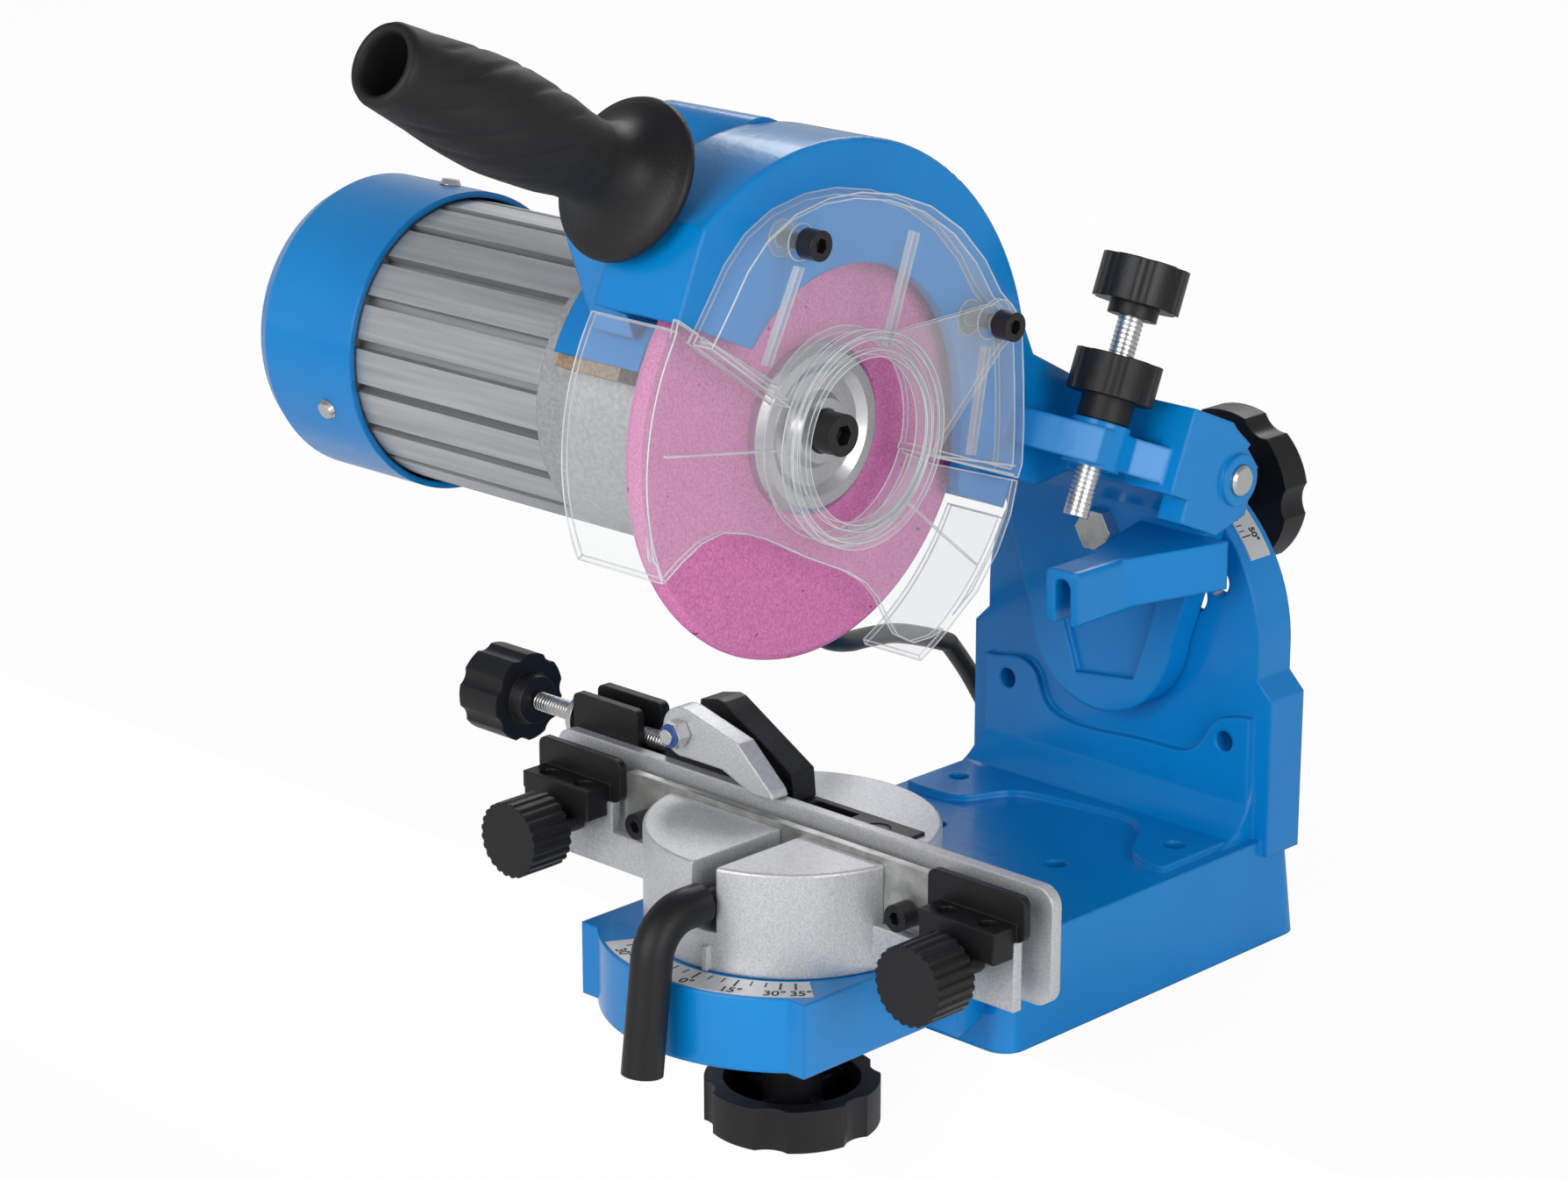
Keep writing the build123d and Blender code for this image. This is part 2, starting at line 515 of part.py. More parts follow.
# Chain guides with their fins and recessed screws, one at each end of the rails
guide_low_z, guide_top_z = WING_TOP_Z - 4.5, WING_TOP_Z + 5.5
guide_front_y = wing_front_y - 9.0
for side, name in ((-1, "left"), (1, "right")):
    with BuildPart() as chain_guide:
        with BuildSketch(Plane.XY.offset(guide_low_z)):
            with Locations((side * GUIDE_X, (guide_front_y + wing_front_y) / 2 - SEAT)):
                RectangleRounded(2 * GUIDE_HALF_W, wing_front_y - guide_front_y, 1)
        extrude(amount=guide_top_z - guide_low_z)
        # lip over the wing, and the fin that stands between wing and rail
        with BuildSketch(Plane.XY.offset(WING_TOP_Z + SEAT)):
            with Locations((side * GUIDE_X, (guide_front_y + wing_back_y) / 2)):
                Rectangle(2 * GUIDE_HALF_W, wing_back_y - guide_front_y)
        extrude(amount=guide_top_z - WING_TOP_Z - SEAT)
        with BuildSketch(Plane.XZ.offset(-wing_back_y)):
            with Locations((side * (GUIDE_X - 1), (WING_TOP_Z + RAIL_TOP_Z) / 2)):
                RectangleRounded(2 * GUIDE_HALF_W + 8, RAIL_TOP_Z - WING_TOP_Z - 2 * SEAT, 3)
        extrude(amount=2.6)
        with BuildSketch(Plane.XY.offset(guide_top_z)):
            with Locations((side * GUIDE_X - 8, guide_front_y + 5), (side * GUIDE_X + 8, guide_front_y + 5)):
                Circle(2.9)
        extrude(amount=-4, mode=Mode.SUBTRACT)
    save(chain_guide.part, f"{name}_chain_guide")

    thumb_back_y = guide_front_y - 5.0
    with BuildPart() as thumb_screw:
        with BuildSketch(Plane.XZ.offset(-thumb_back_y)):
            with Locations((side * THUMB_X, THUMB_Z)):
                Circle(THUMB_R)
                with PolarLocations(THUMB_R + 0.5, 24):
                    Circle(1.1, mode=Mode.SUBTRACT)
        extrude(amount=THUMB_L)
        with BuildSketch(Plane.XZ.offset(-wing_front_y + GAP)):
            with Locations((side * THUMB_X, THUMB_Z)):
                Circle(4.2)
        extrude(amount=wing_front_y - thumb_back_y)
        with BuildSketch(Plane.XZ.offset(-wing_back_y - 2)):
            with Locations((side * THUMB_X, THUMB_Z)):
                Circle(3.0)
        extrude(amount=wing_back_y - thumb_back_y + 2)
    save(thumb_screw.part, f"{name}_thumb_screw")

with BuildPart() as guide_screws:
    with BuildSketch(Plane.XY.offset(guide_top_z - 4 + SEAT)):
        for side in (1, -1):
            with Locations((side * GUIDE_X - 8, guide_front_y + 5), (side * GUIDE_X + 8, guide_front_y + 5)):
                Circle(2.7)
    extrude(amount=2.2)
save(guide_screws.part, "guide_screws")

# =====================================================================================
# Chain stop: track with its fork, adjusting screw, carriage and pawl
# =====================================================================================
track_front_y = rail_back_y + SEAT
with BuildPart() as stop_track:
    with BuildSketch(Plane.XY.offset(TRACK_TOP_Z - 10)):
        with Locations(((TRACK_LEFT_X + TRACK_RIGHT_X) / 2, (track_front_y + TRACK_BACK_Y) / 2)):
            Rectangle(TRACK_RIGHT_X - TRACK_LEFT_X, TRACK_BACK_Y - track_front_y)
    extrude(amount=10)
    # open pocket beside the pawl, and the countersunk screw's seat
    with BuildSketch(Plane.XY.offset(TRACK_TOP_Z)):
        with Locations((4, (track_front_y + TRACK_BACK_Y) / 2)):
            Rectangle(18, TRACK_BACK_Y - track_front_y - 5)
    extrude(amount=-6, mode=Mode.SUBTRACT)
    with Locations((25, (track_front_y + TRACK_BACK_Y) / 2, TRACK_TOP_Z)):
        CounterSinkHole(2.2, 4.5, 9)
    # fork plates either side of the adjusting screw, with the collar wall that holds it
    with BuildSketch(Plane.XZ.offset(-ROD_Y - 4)):
        with Locations(((FORK_FROM_X + FORK_TO_X) / 2 + 2, (TRACK_TOP_Z + FORK_TOP_Z) / 2 - 0.5)):
            RectangleRounded(FORK_TO_X - FORK_FROM_X - 4, FORK_TOP_Z - TRACK_TOP_Z + 1, 2.5)
    extrude(amount=-3.5)
    with BuildSketch(Plane.XZ.offset(-ROD_Y + 4)):
        with Locations(((FORK_FROM_X + FORK_TO_X) / 2 + 2, (TRACK_TOP_Z + FORK_TOP_Z) / 2 - 0.5)):
            RectangleRounded(FORK_TO_X - FORK_FROM_X - 4, FORK_TOP_Z - TRACK_TOP_Z + 1, 2.5)
    extrude(amount=3)
    with BuildSketch(Plane.YZ.offset(FORK_FROM_X + 3)):
        with Locations((ROD_Y, (TRACK_TOP_Z + ROD_Z) / 2 + 2)):
            Rectangle(8.2, ROD_Z - TRACK_TOP_Z + 5)
        with Locations((ROD_Y, ROD_Z)):
            Circle(ROD_R + RUN, mode=Mode.SUBTRACT)
    extrude(amount=6)
save(stop_track.part, "stop_track")

with BuildPart() as track_screw:
    with BuildSketch(Plane.XZ.offset(-(track_front_y + TRACK_BACK_Y) / 2)):
        with BuildLine():
            Polyline((25, TRACK_TOP_Z - 0.3), (25 + 4.2, TRACK_TOP_Z - 0.3), (25 + 2.1, TRACK_TOP_Z - 2.5),
                     (25 + 2.1, TRACK_TOP_Z - 9), (25, TRACK_TOP_Z - 9), close=True)
        make_face()
    revolve(axis=Axis((25, (track_front_y + TRACK_BACK_Y) / 2, 0), (0, 0, 1)))
save(track_screw.part, "track_screw")

# Adjusting screw, its lobed knob and its round nut
knob_x = -141.0
rod_end_x = CARRIAGE_FROM_X + 14
with BuildPart() as adjusting_screw:
    with BuildSketch(Plane.YZ.offset(knob_x + 14)):
        with Locations((ROD_Y, ROD_Z)):
            Circle(ROD_R)
    extrude(amount=rod_end_x - knob_x - 14)
    with BuildSketch(Plane.YZ.offset(FORK_FROM_X + 3 - SEAT - 2.5)):
        with Locations((ROD_Y, ROD_Z)):
            Circle(7.5)
    extrude(amount=2.2)
save(adjusting_screw.part, "adjusting_screw")

with BuildPart() as adjusting_knob:
    with BuildSketch(Plane.YZ.offset(knob_x - 9)):
        with Locations((ROD_Y, ROD_Z)):
            lobed(15.0, 7, 1.2)
    extrude(amount=18)
    with BuildSketch(Plane.YZ.offset(knob_x + 9)):
        with Locations((ROD_Y, ROD_Z)):
            Circle(9)
    extrude(amount=4.5, taper=12)
save(adjusting_knob.part, "adjusting_knob")

# Carriage: block on the track, moved by the adjusting screw, with the slanted cheek behind the pawl
carriage_low_z = TRACK_TOP_Z + GAP
cheek_front_y, cheek_back_y = ROD_Y - 2.0, ROD_Y + 8.0
with BuildPart() as stop_carriage:
    with BuildSketch(Plane.XZ.offset(-track_front_y)):
        with BuildLine():
            Polyline((CARRIAGE_FROM_X, carriage_low_z), (CARRIAGE_TO_X, carriage_low_z),
                     (CARRIAGE_TO_X, TRACK_TOP_Z + 6), (CARRIAGE_FROM_X + 12, ROD_Z + 5),
                     (CARRIAGE_FROM_X, ROD_Z + 5), close=True)
        make_face()
    extrude(amount=-(TRACK_BACK_Y - track_front_y))
    with BuildSketch(Plane.XZ.offset(-cheek_front_y)):
        with BuildLine():
            Polyline((PAWL_X - 6, ROD_Z), (PAWL_X - 4, PAWL_Z + 7), (PAWL_X + 5, PAWL_Z + 9),
                     (PAWL_X + 36, TRACK_TOP_Z + 9.5), (PAWL_X + 37, carriage_low_z), (PAWL_X, carriage_low_z),
                     close=True)
        make_face()
    extrude(amount=-(cheek_back_y - cheek_front_y))
    with BuildSketch(Plane.YZ.offset(CARRIAGE_FROM_X - 1)):
        with Locations((ROD_Y, ROD_Z)):
            Circle(ROD_R + RUN)
    extrude(amount=rod_end_x + STOP_TRAVEL - CARRIAGE_FROM_X + 4, mode=Mode.SUBTRACT)
    with BuildSketch(Plane.XZ.offset(-cheek_back_y - 1)):
        with Locations((PAWL_X, PAWL_Z)):
            Circle(PAWL_PIN_R + SEAT)
    extrude(amount=60, mode=Mode.SUBTRACT)
    chamfer(stop_carriage.edges().filter_by(Axis.Y).group_by(Axis.Z)[-1], 1.5)
save(stop_carriage.part, "stop_carriage")

# Pawl: zinc-cast wedge that drops behind a cutter in the slot
pawl_back_y = track_front_y - 0.6
with BuildPart() as stop_pawl:
    with BuildSketch(Plane.XZ.offset(-pawl_back_y)):
        with BuildLine():
            Polyline((PAWL_X - 1, PAWL_Z - 8), (PAWL_X + 18, PAWL_Z - 8), (PAWL_X + 31, RAIL_TOP_Z + 0.5),
                     (PAWL_X + 40, RAIL_TOP_Z + 0.8), (PAWL_X + 39, RAIL_TOP_Z + 3), (PAWL_X + 25, PAWL_Z + 2),
                     (PAWL_X + 2, PAWL_Z + 8), close=True)
        make_face()
        with Locations((PAWL_X, PAWL_Z)):
            Circle(8.1)
    extrude(amount=PAWL_T)
    with BuildSketch(Plane.XZ.offset(-pawl_back_y - 1)):
        with Locations((PAWL_X, PAWL_Z)):
            Circle(PAWL_PIN_R + RUN)
    extrude(amount=PAWL_T + 2, mode=Mode.SUBTRACT)
save(stop_pawl.part, "stop_pawl")

# Pawl bolt through the carriage, with its nyloc nut in front
with BuildPart() as pawl_bolt:
    with BuildSketch(Plane.XZ.offset(-cheek_back_y - GAP)):
        with Locations((PAWL_X, PAWL_Z)):
            Circle(PAWL_PIN_R)
    extrude(amount=cheek_back_y + GAP - pawl_back_y + PAWL_T + 7)
    with BuildSketch(Plane.XZ.offset(-cheek_back_y - SEAT)):
        with Locations((PAWL_X, PAWL_Z)):
            RegularPolygon(4.6, 6)
    extrude(amount=-3.5)
save(pawl_bolt.part, "pawl_bolt")

with BuildPart() as pawl_nut:
    with BuildSketch(Plane.XZ.offset(-pawl_back_y + PAWL_T + GAP)):
        with Locations((PAWL_X, PAWL_Z)):
            RegularPolygon(4.6, 6)
            Circle(PAWL_PIN_R + SEAT, mode=Mode.SUBTRACT)
    extrude(amount=5)
save(pawl_nut.part, "pawl_nut")

# =====================================================================================
# Tilt bracket: plate on the wall with the pivot lug and the stop arm, and its fixings
# =====================================================================================
plate_back_y = WALL_FRONT_Y - GAP
plate_front_y = plate_back_y - PLATE_T
lug_low_z = PIVOT_Z - 17.0
with BuildPart() as tilt_bracket:
    # plate: round foot about the tilt axis, sides leaning out up to the lug
    with BuildSketch(Plane.XZ.offset(-plate_back_y)):
        with BuildLine():
            Polyline((-27, TILT_Z - 12), (27, TILT_Z - 12), (LUG_HALF_W, lug_low_z + 4), (LUG_HALF_W, PIVOT_Z - 9),
                     (-LUG_HALF_W, PIVOT_Z - 9), (-LUG_HALF_W, lug_low_z + 4), close=True)
        make_face()
        with Locations((0, TILT_Z)):
            Circle(30)
    extrude(amount=PLATE_T)
    # recessed panel in the foot
    with BuildSketch(Plane.XZ.offset(-plate_front_y)):
        with BuildLine():
            Polyline((-21, TILT_Z + 12), (24, TILT_Z + 12), (15, TILT_Z - 16), (-10, TILT_Z - 19), close=True)
        make_face()
    extrude(amount=-2.5, mode=Mode.SUBTRACT)
    # pivot lug between the head's ears
    with BuildSketch(Plane.YZ.offset(-LUG_HALF_W)):
        with Locations((PIVOT_Y, PIVOT_Z)):
            Circle(9)
        with BuildLine():
            Polyline((PIVOT_Y - 9, PIVOT_Z), (PIVOT_Y + 9, PIVOT_Z), (plate_back_y, lug_low_z + 6),
                     (plate_back_y, lug_low_z), (plate_front_y, lug_low_z), close=True)
        make_face()
    extrude(amount=2 * LUG_HALF_W)
    # middle of the lug is open for the return spring
    with BuildSketch(Plane.XY.offset(lug_low_z + 8)):
        with Locations((-8, PIVOT_Y)):
            Rectangle(44, 26)
    extrude(amount=40, mode=Mode.SUBTRACT)
    # stop arm towards the operator, an inverted channel
    with BuildSketch(Plane.XZ.offset(-STOP_FRONT_Y)):
        with Locations((STOP_X, STOP_TOP_Z - 9)):
            RectangleRounded(STOP_W, 18, 2.4)
    extrude(amount=STOP_FRONT_Y - plate_front_y)
    with BuildSketch(Plane.XY.offset(STOP_TOP_Z)):
        with BuildLine():
            Polyline((STOP_X - STOP_W / 2, STOP_FRONT_Y + 22), (STOP_X + STOP_W / 2, STOP_FRONT_Y + 22),
                     (STOP_X + 18, plate_front_y + 1), (STOP_X - 18, plate_front_y + 1), close=True)
        make_face()
    extrude(amount=-16)
    with BuildSketch(Plane.XZ.offset(-STOP_FRONT_Y)):
        with Locations((STOP_X, STOP_TOP_Z - 9.5)):
            SlotOverall(13, 6.5, rotation=90)
        with Locations((STOP_X, STOP_TOP_Z - 15)):
            Rectangle(6.5, 8)
    extrude(amount=-24, mode=Mode.SUBTRACT)
    # tilt spigot through the wall, and the square-necked clamp bolt's hole
    with BuildSketch(Plane.XZ.offset(-plate_back_y)):
        with Locations((0, TILT_Z)):
            Circle(SPIGOT_R)
    extrude(amount=-(WALL_BACK_Y - plate_back_y + 0.4))
    with BuildSketch(Plane.XZ.offset(-plate_back_y - 1)):
        with Locations((0, TILT_Z + TILT_SLOT_R)):
            Circle(4 + SEAT)
    extrude(amount=PLATE_T + 20, mode=Mode.SUBTRACT)
    with BuildSketch(Plane.XZ.offset(-plate_front_y)):
        with Locations((0, TILT_Z + TILT_SLOT_R)):
            Circle(8.5)
    extrude(amount=20, mode=Mode.SUBTRACT)
    with BuildSketch(Plane.YZ.offset(-LUG_HALF_W - 1)):
        with Locations((PIVOT_Y, PIVOT_Z)):
            Circle(PIN_R + RUN)
    extrude(amount=2 * LUG_HALF_W + 2, mode=Mode.SUBTRACT)
    with BuildSketch(Plane.XZ.offset(-WALL_BACK_Y - 2)):
        with Locations((0, TILT_Z)):
            Circle(3)
    extrude(amount=14, mode=Mode.SUBTRACT)
save(tilt_bracket.part, "tilt_bracket")

# Screw and washer that hold the spigot in the wall from behind
with BuildPart() as tilt_pivot_screw:
    with BuildSketch(Plane.XZ.offset(-WALL_BACK_Y - 0.4 - SEAT)):
        with Locations((0, TILT_Z)):
            Circle(13)
    extrude(amount=-2)
    with BuildSketch(Plane.XZ.offset(-WALL_BACK_Y + 9)):
        with Locations((0, TILT_Z)):
            Circle(2.9)
    extrude(amount=-(9 + 2.4))
    with BuildSketch(Plane.XZ.offset(-WALL_BACK_Y - 2.4)):
        with Locations((0, TILT_Z)):
            RegularPolygon(5.5, 6)
    extrude(amount=-4)
save(tilt_pivot_screw.part, "tilt_pivot_screw")

# Clamp bolt: hexagon head in front of the plate, shank through the wall's arc slot to the star knob
clamp_z = TILT_Z + TILT_SLOT_R
with BuildPart() as tilt_clamp_bolt:
    with BuildSketch(Plane.XZ.offset(-plate_front_y + SEAT)):
        with Locations((0, clamp_z)):
            RegularPolygon(7.5, 6)
    extrude(amount=4.5)
    with BuildSketch(Plane.XZ.offset(-plate_front_y + SEAT)):
        with Locations((0, clamp_z)):
            Circle(4)
    extrude(amount=-(WALL_BACK_Y + KNOB_STAND_OFF + 8 - plate_front_y))
save(tilt_clamp_bolt.part, "tilt_clamp_bolt")

with BuildPart() as tilt_lock_knob:
    with BuildSketch(Plane.XZ.offset(-WALL_BACK_Y - KNOB_STAND_OFF)):
        with Locations((0, clamp_z)):
            lobed(28.0, 6, 2.2)
    extrude(amount=-13)
    fillet(tilt_lock_knob.edges().group_by(Axis.Y)[-1], 2)
    with BuildSketch(Plane.XZ.offset(-WALL_FRONT_Y - CAST_WALL - 1 - GAP)):
        with Locations((0, clamp_z)):
            Circle(8.5)
    extrude(amount=-(WALL_BACK_Y + KNOB_STAND_OFF - WALL_FRONT_Y - CAST_WALL - 1 - GAP))
    with BuildSketch(Plane.XZ.offset(-WALL_FRONT_Y)):
        with Locations((0, clamp_z)):
            Circle(4 + RUN)
    extrude(amount=-(WALL_BACK_Y + KNOB_STAND_OFF + 10 - WALL_FRONT_Y), mode=Mode.SUBTRACT)
save(tilt_lock_knob.part, "tilt_lock_knob")

# =====================================================================================
# Head: hood, arm, ears and strap in one casting
# =====================================================================================
pivot_back = (PIVOT_Y - SPINDLE_Y) * cos(radians(LEAN)) + (SPINDLE_Z - PIVOT_Z) * sin(radians(LEAN))
pivot_up = (PIVOT_Y - SPINDLE_Y) * sin(radians(LEAN)) - (SPINDLE_Z - PIVOT_Z) * cos(radians(LEAN))
side_back = -77.0            # flat left side of the hood
lip_up = 16.0                # its lower edge
wall_x = HOOD_FRONT_X - HOOD_REAR_X
with BuildPart() as head_casting:
    # hood: round outside with a flat left side, cut off level at the lip and along the arm's floor
    with BuildSketch(head_plane(HOOD_REAR_X)) as hood_outline:
        Circle(HOOD_R)
        with Locations((side_back - 50, 0)):
            Rectangle(100, 3 * HOOD_R, mode=Mode.SUBTRACT)
        with Locations((side_back / 2, lip_up - 100)):
            Rectangle(-side_back + 4 * HOOD_R, 200, mode=Mode.SUBTRACT)
        with BuildLine():
            Polyline((0, lip_up + 1), (HOOD_R - 1.5, lip_up + 1), (HOOD_R - 1.5, ARM_FLOOR - 10), (64, ARM_FLOOR - 10),
                     (56, lip_up), (0, lip_up + 0.5), close=True)
        make_face()
    extrude(amount=wall_x)
    fillet(head_casting.faces().sort_by(Axis.X)[-1].edges().sort_by(Axis.Z)[-1], 1.5)
    # room for the wheel
    with BuildSketch(head_plane(HOOD_REAR_X + HOOD_T)):
        Circle(HOOD_R - HOOD_T)
        with Locations((side_back + HOOD_T - 50, 0)):
            Rectangle(100, 3 * HOOD_R, mode=Mode.SUBTRACT)
        with Locations((HOOD_R - HOOD_T + 48, 0)):
            Rectangle(100, 3 * HOOD_R, mode=Mode.SUBTRACT)
    extrude(amount=wall_x - 2 * HOOD_T, mode=Mode.SUBTRACT)
    # window in the front wall
    with BuildSketch(head_plane(HOOD_FRONT_X - HOOD_T - 1)):
        with Locations((5.5, 1)):
            Circle(WINDOW_R)
    extrude(amount=HOOD_T + 2, mode=Mode.SUBTRACT)
    # motor mounting collar behind the hood
    with BuildSketch(head_plane(BELL_FRONT_X - 30)):
        Circle(MOTOR_R + 10)
        Circle(MOTOR_R + 1.5, mode=Mode.SUBTRACT)
        with Locations((0, 1 - 100)):
            Rectangle(4 * HOOD_R, 200, mode=Mode.SUBTRACT)
    extrude(amount=HOOD_REAR_X - BELL_FRONT_X + 30)
    # rear wall of the hood down to the bell, with its bore
    with BuildSketch(head_plane(HOOD_REAR_X)):
        Circle(MOTOR_R + 10)
        Circle(MOTOR_R - 8, mode=Mode.SUBTRACT)
        with Locations((0, 1 - 100)):
            Rectangle(4 * HOOD_R, 200, mode=Mode.SUBTRACT)
    extrude(amount=HOOD_T)
    # shoulder that carries the handle
    with BuildSketch(head_plane(HANDLE_X - 20)):
        with BuildLine():
            Polyline((HANDLE_BACK - 2.2, HANDLE_UP + 15), (HANDLE_BACK - 4.2, HANDLE_UP - 17), (-58, 10), (-46, 30),
                     (-52, HANDLE_UP + 15), close=True)
        make_face()
    extrude(amount=HOOD_REAR_X + 1 - HANDLE_X + 20)
    # arm: wide flat beam back to the ears
    with BuildSketch(head_plane(-EAR_OUT_X)):
        with BuildLine():
            Polyline((pivot_back - 31, ARM_FLOOR + 8), (pivot_back - 31, ARM_TOP), (pivot_back - 12, ARM_TOP),
                     (pivot_back + 2, pivot_up + 12), (pivot_back - 14, ARM_FLOOR + 8), close=True)
        make_face()
    extrude(amount=2 * EAR_OUT_X)
    with BuildSketch(head_plane(HOOD_REAR_X)):
        with BuildLine():
            Polyline((60, ARM_FLOOR), (60, ARM_TOP + 22), (HOOD_R - 8, ARM_TOP + 3), (pivot_back - 30, ARM_TOP),
                     (pivot_back - 30, ARM_FLOOR + 8), (pivot_back - 44, ARM_FLOOR), close=True)
        make_face()
        Circle(HOOD_R - 1, mode=Mode.SUBTRACT)
    extrude(amount=wall_x)
    # strap that bows out from the hood to the ear, with the threaded boss of the depth screw
    strap_plane = Plane(origin=head_point(0, 0, STRAP_LOW), x_dir=head_plane(0).x_dir, z_dir=head_plane(0).y_dir)
    with BuildSketch(strap_plane):
        with BuildLine():
            Polyline((78, -HOOD_FRONT_X + 2), (79, -18), (DEPTH_BACK - 9, -DEPTH_X - 9),
                     (DEPTH_BACK + 8, -DEPTH_X - 9), (pivot_back - 28, -EAR_OUT_X + 3), (pivot_back - 28, -38),
                     (DEPTH_BACK + 6, -DEPTH_X + 5), (DEPTH_BACK - 4, -DEPTH_X + 7), (86, -HOOD_FRONT_X + 2),
                     close=True)
        make_face()
        with Locations((DEPTH_BACK, -DEPTH_X)):
            Circle(9.5)
    extrude(amount=STRAP_TOP - STRAP_LOW)
    with BuildSketch(strap_plane.offset(-1)):
        with Locations((DEPTH_BACK, -DEPTH_X)):
            Circle(9.5)
    extrude(amount=STRAP_TOP - STRAP_LOW + 3)
    # ears either side of the bracket's lug
    with BuildSketch(head_plane(-EAR_OUT_X)):
        with BuildLine():
            Polyline((pivot_back - 22, pivot_up - 19), (pivot_back - 22, ARM_TOP), (pivot_back - 10, ARM_TOP),
                     (pivot_back + 9, pivot_up + 6), (pivot_back + 9, pivot_up - 10), (pivot_back - 3, pivot_up - 19),
                     close=True)
        make_face()
    extrude(amount=2 * EAR_OUT_X)
    with BuildSketch(Plane.YZ.offset(-LUG_HALF_W - GAP)):
        with Locations((PIVOT_Y, PIVOT_Z)):
            Circle(31)
    extrude(amount=2 * (LUG_HALF_W + GAP), mode=Mode.SUBTRACT)
    # round pin bosses and their bore
    for side in (1, -1):
        with BuildSketch(Plane.YZ.offset(side * (EAR_OUT_X - 0.01))):
            with Locations((PIVOT_Y, PIVOT_Z)):
                Circle(8.5)
        extrude(amount=side * 1.5)
    with BuildSketch(Plane.YZ.offset(-EAR_OUT_X - 3)):
        with Locations((PIVOT_Y, PIVOT_Z)):
            Circle(PIN_R + RUN)
    extrude(amount=2 * EAR_OUT_X + 6, mode=Mode.SUBTRACT)
    # tapped bore of the depth screw
    with BuildSketch(Plane(origin=head_point(DEPTH_X, DEPTH_BACK, -20), x_dir=(1, 0, 0),
                           z_dir=(0, sin(radians(LEAN)), cos(radians(LEAN))))):
        Circle(DEPTH_R + RUN)
    extrude(amount=70, mode=Mode.SUBTRACT)
save(head_casting.part, "head_casting")

# Pivot pin through the ears and the lug
with BuildPart() as pivot_pin:
    with BuildSketch(Plane.YZ.offset(-EAR_OUT_X - 3)):
        with Locations((PIVOT_Y, PIVOT_Z)):
            Circle(PIN_R)
    extrude(amount=2 * EAR_OUT_X + 6)
    chamfer(pivot_pin.edges().filter_by(GeomType.CIRCLE), 0.8)
save(pivot_pin.part, "pivot_pin")

# Return spring: close coils round the pin, in the open middle of the lug
with BuildPart() as return_spring:
    with BuildSketch(Plane.YZ.offset(-26)):
        with Locations((PIVOT_Y, PIVOT_Z)):
            Circle(8)
            Circle(PIN_R + 0.4, mode=Mode.SUBTRACT)
    extrude(amount=36)
save(return_spring.part, "return_spring")

# Depth screw with its star knob, and the lock knob that jams it on the strap
depth_axis = (0, sin(radians(LEAN)), cos(radians(LEAN)))


def depth_plane(up):
    return Plane(origin=head_point(DEPTH_X, DEPTH_BACK, up), x_dir=(1, 0, 0), z_dir=depth_axis)


with BuildPart() as depth_screw:
    with BuildSketch(depth_plane(-2.5)):
        Circle(DEPTH_R)
    extrude(amount=66)
save(depth_screw.part, "depth_screw")

with BuildPart() as depth_knob:
    with BuildSketch(depth_plane(66)):
        lobed(14.0, 7, 1.2)
    extrude(amount=14)
    with BuildSketch(depth_plane(62)):
        Circle(8)
    extrude(amount=4)
    with BuildSketch(depth_plane(61)):
        Circle(DEPTH_R + SEAT)
    extrude(amount=2.6, mode=Mode.SUBTRACT)
save(depth_knob.part, "depth_knob")

with BuildPart() as depth_lock_knob:
    with BuildSketch(depth_plane(36)):
        lobed(14.0, 7, 1.2)
    extrude(amount=13)
    with BuildSketch(depth_plane(STRAP_TOP + 2 + GAP)):
        Circle(8.5)
    extrude(amount=36 - STRAP_TOP - 2 - GAP)
    with BuildSketch(depth_plane(STRAP_TOP)):
        Circle(DEPTH_R + RUN)
    extrude(amount=40, mode=Mode.SUBTRACT)
save(depth_lock_knob.part, "depth_lock_knob")

# Handle: moulded grip with its round flange, screwed to the shoulder of the hood
handle_dir = (0, -cos(radians(HANDLE_RISE)), sin(radians(HANDLE_RISE)))
handle_root = head_point(HANDLE_X, HANDLE_BACK - 3.2, HANDLE_UP)
with BuildPart() as handle:
    with BuildSketch(Plane.XZ) as grip_profile:
        with BuildLine():
            g1 = Line((0, 0), (FLANGE_R, 0))
            g2 = Line(g1 @ 1, (FLANGE_R, 2.5))
            g3 = Spline(g2 @ 1, (15, 9), (12.5, 18))
            g4 = Spline(g3 @ 1, (HANDLE_R - 1, 38), (HANDLE_R + 0.5, HANDLE_L * 0.55), (HANDLE_R - 1.5, HANDLE_L - 24),
                        (12.5, HANDLE_L - 3), (11, HANDLE_L))
            g5 = Line(g4 @ 1, (9, HANDLE_L))
            g6 = Line(g5 @ 1, (9, 30))
            g7 = Line(g6 @ 1, (0, 30))
            Line(g7 @ 1, g1 @ 0)
        make_face()
    revolve(axis=Axis.Z)
handle_part = Plane(origin=handle_root, x_dir=(1, 0, 0), z_dir=handle_dir) * handle.part
save(handle_part, "handle")

# =====================================================================================
# Motor: end bell, finned stator tube, blue fan cover, and what turns inside
# =====================================================================================
def turned(*outline):
    """Ring or disc turned about the spindle from an (x, radius) outline."""
    with BuildPart() as piece:
        with BuildSketch(Plane.XY):
            Polygon(*outline, align=None)
        revolve(axis=Axis.X)
    return Pos(0, SPINDLE_Y, SPINDLE_Z) * piece.part


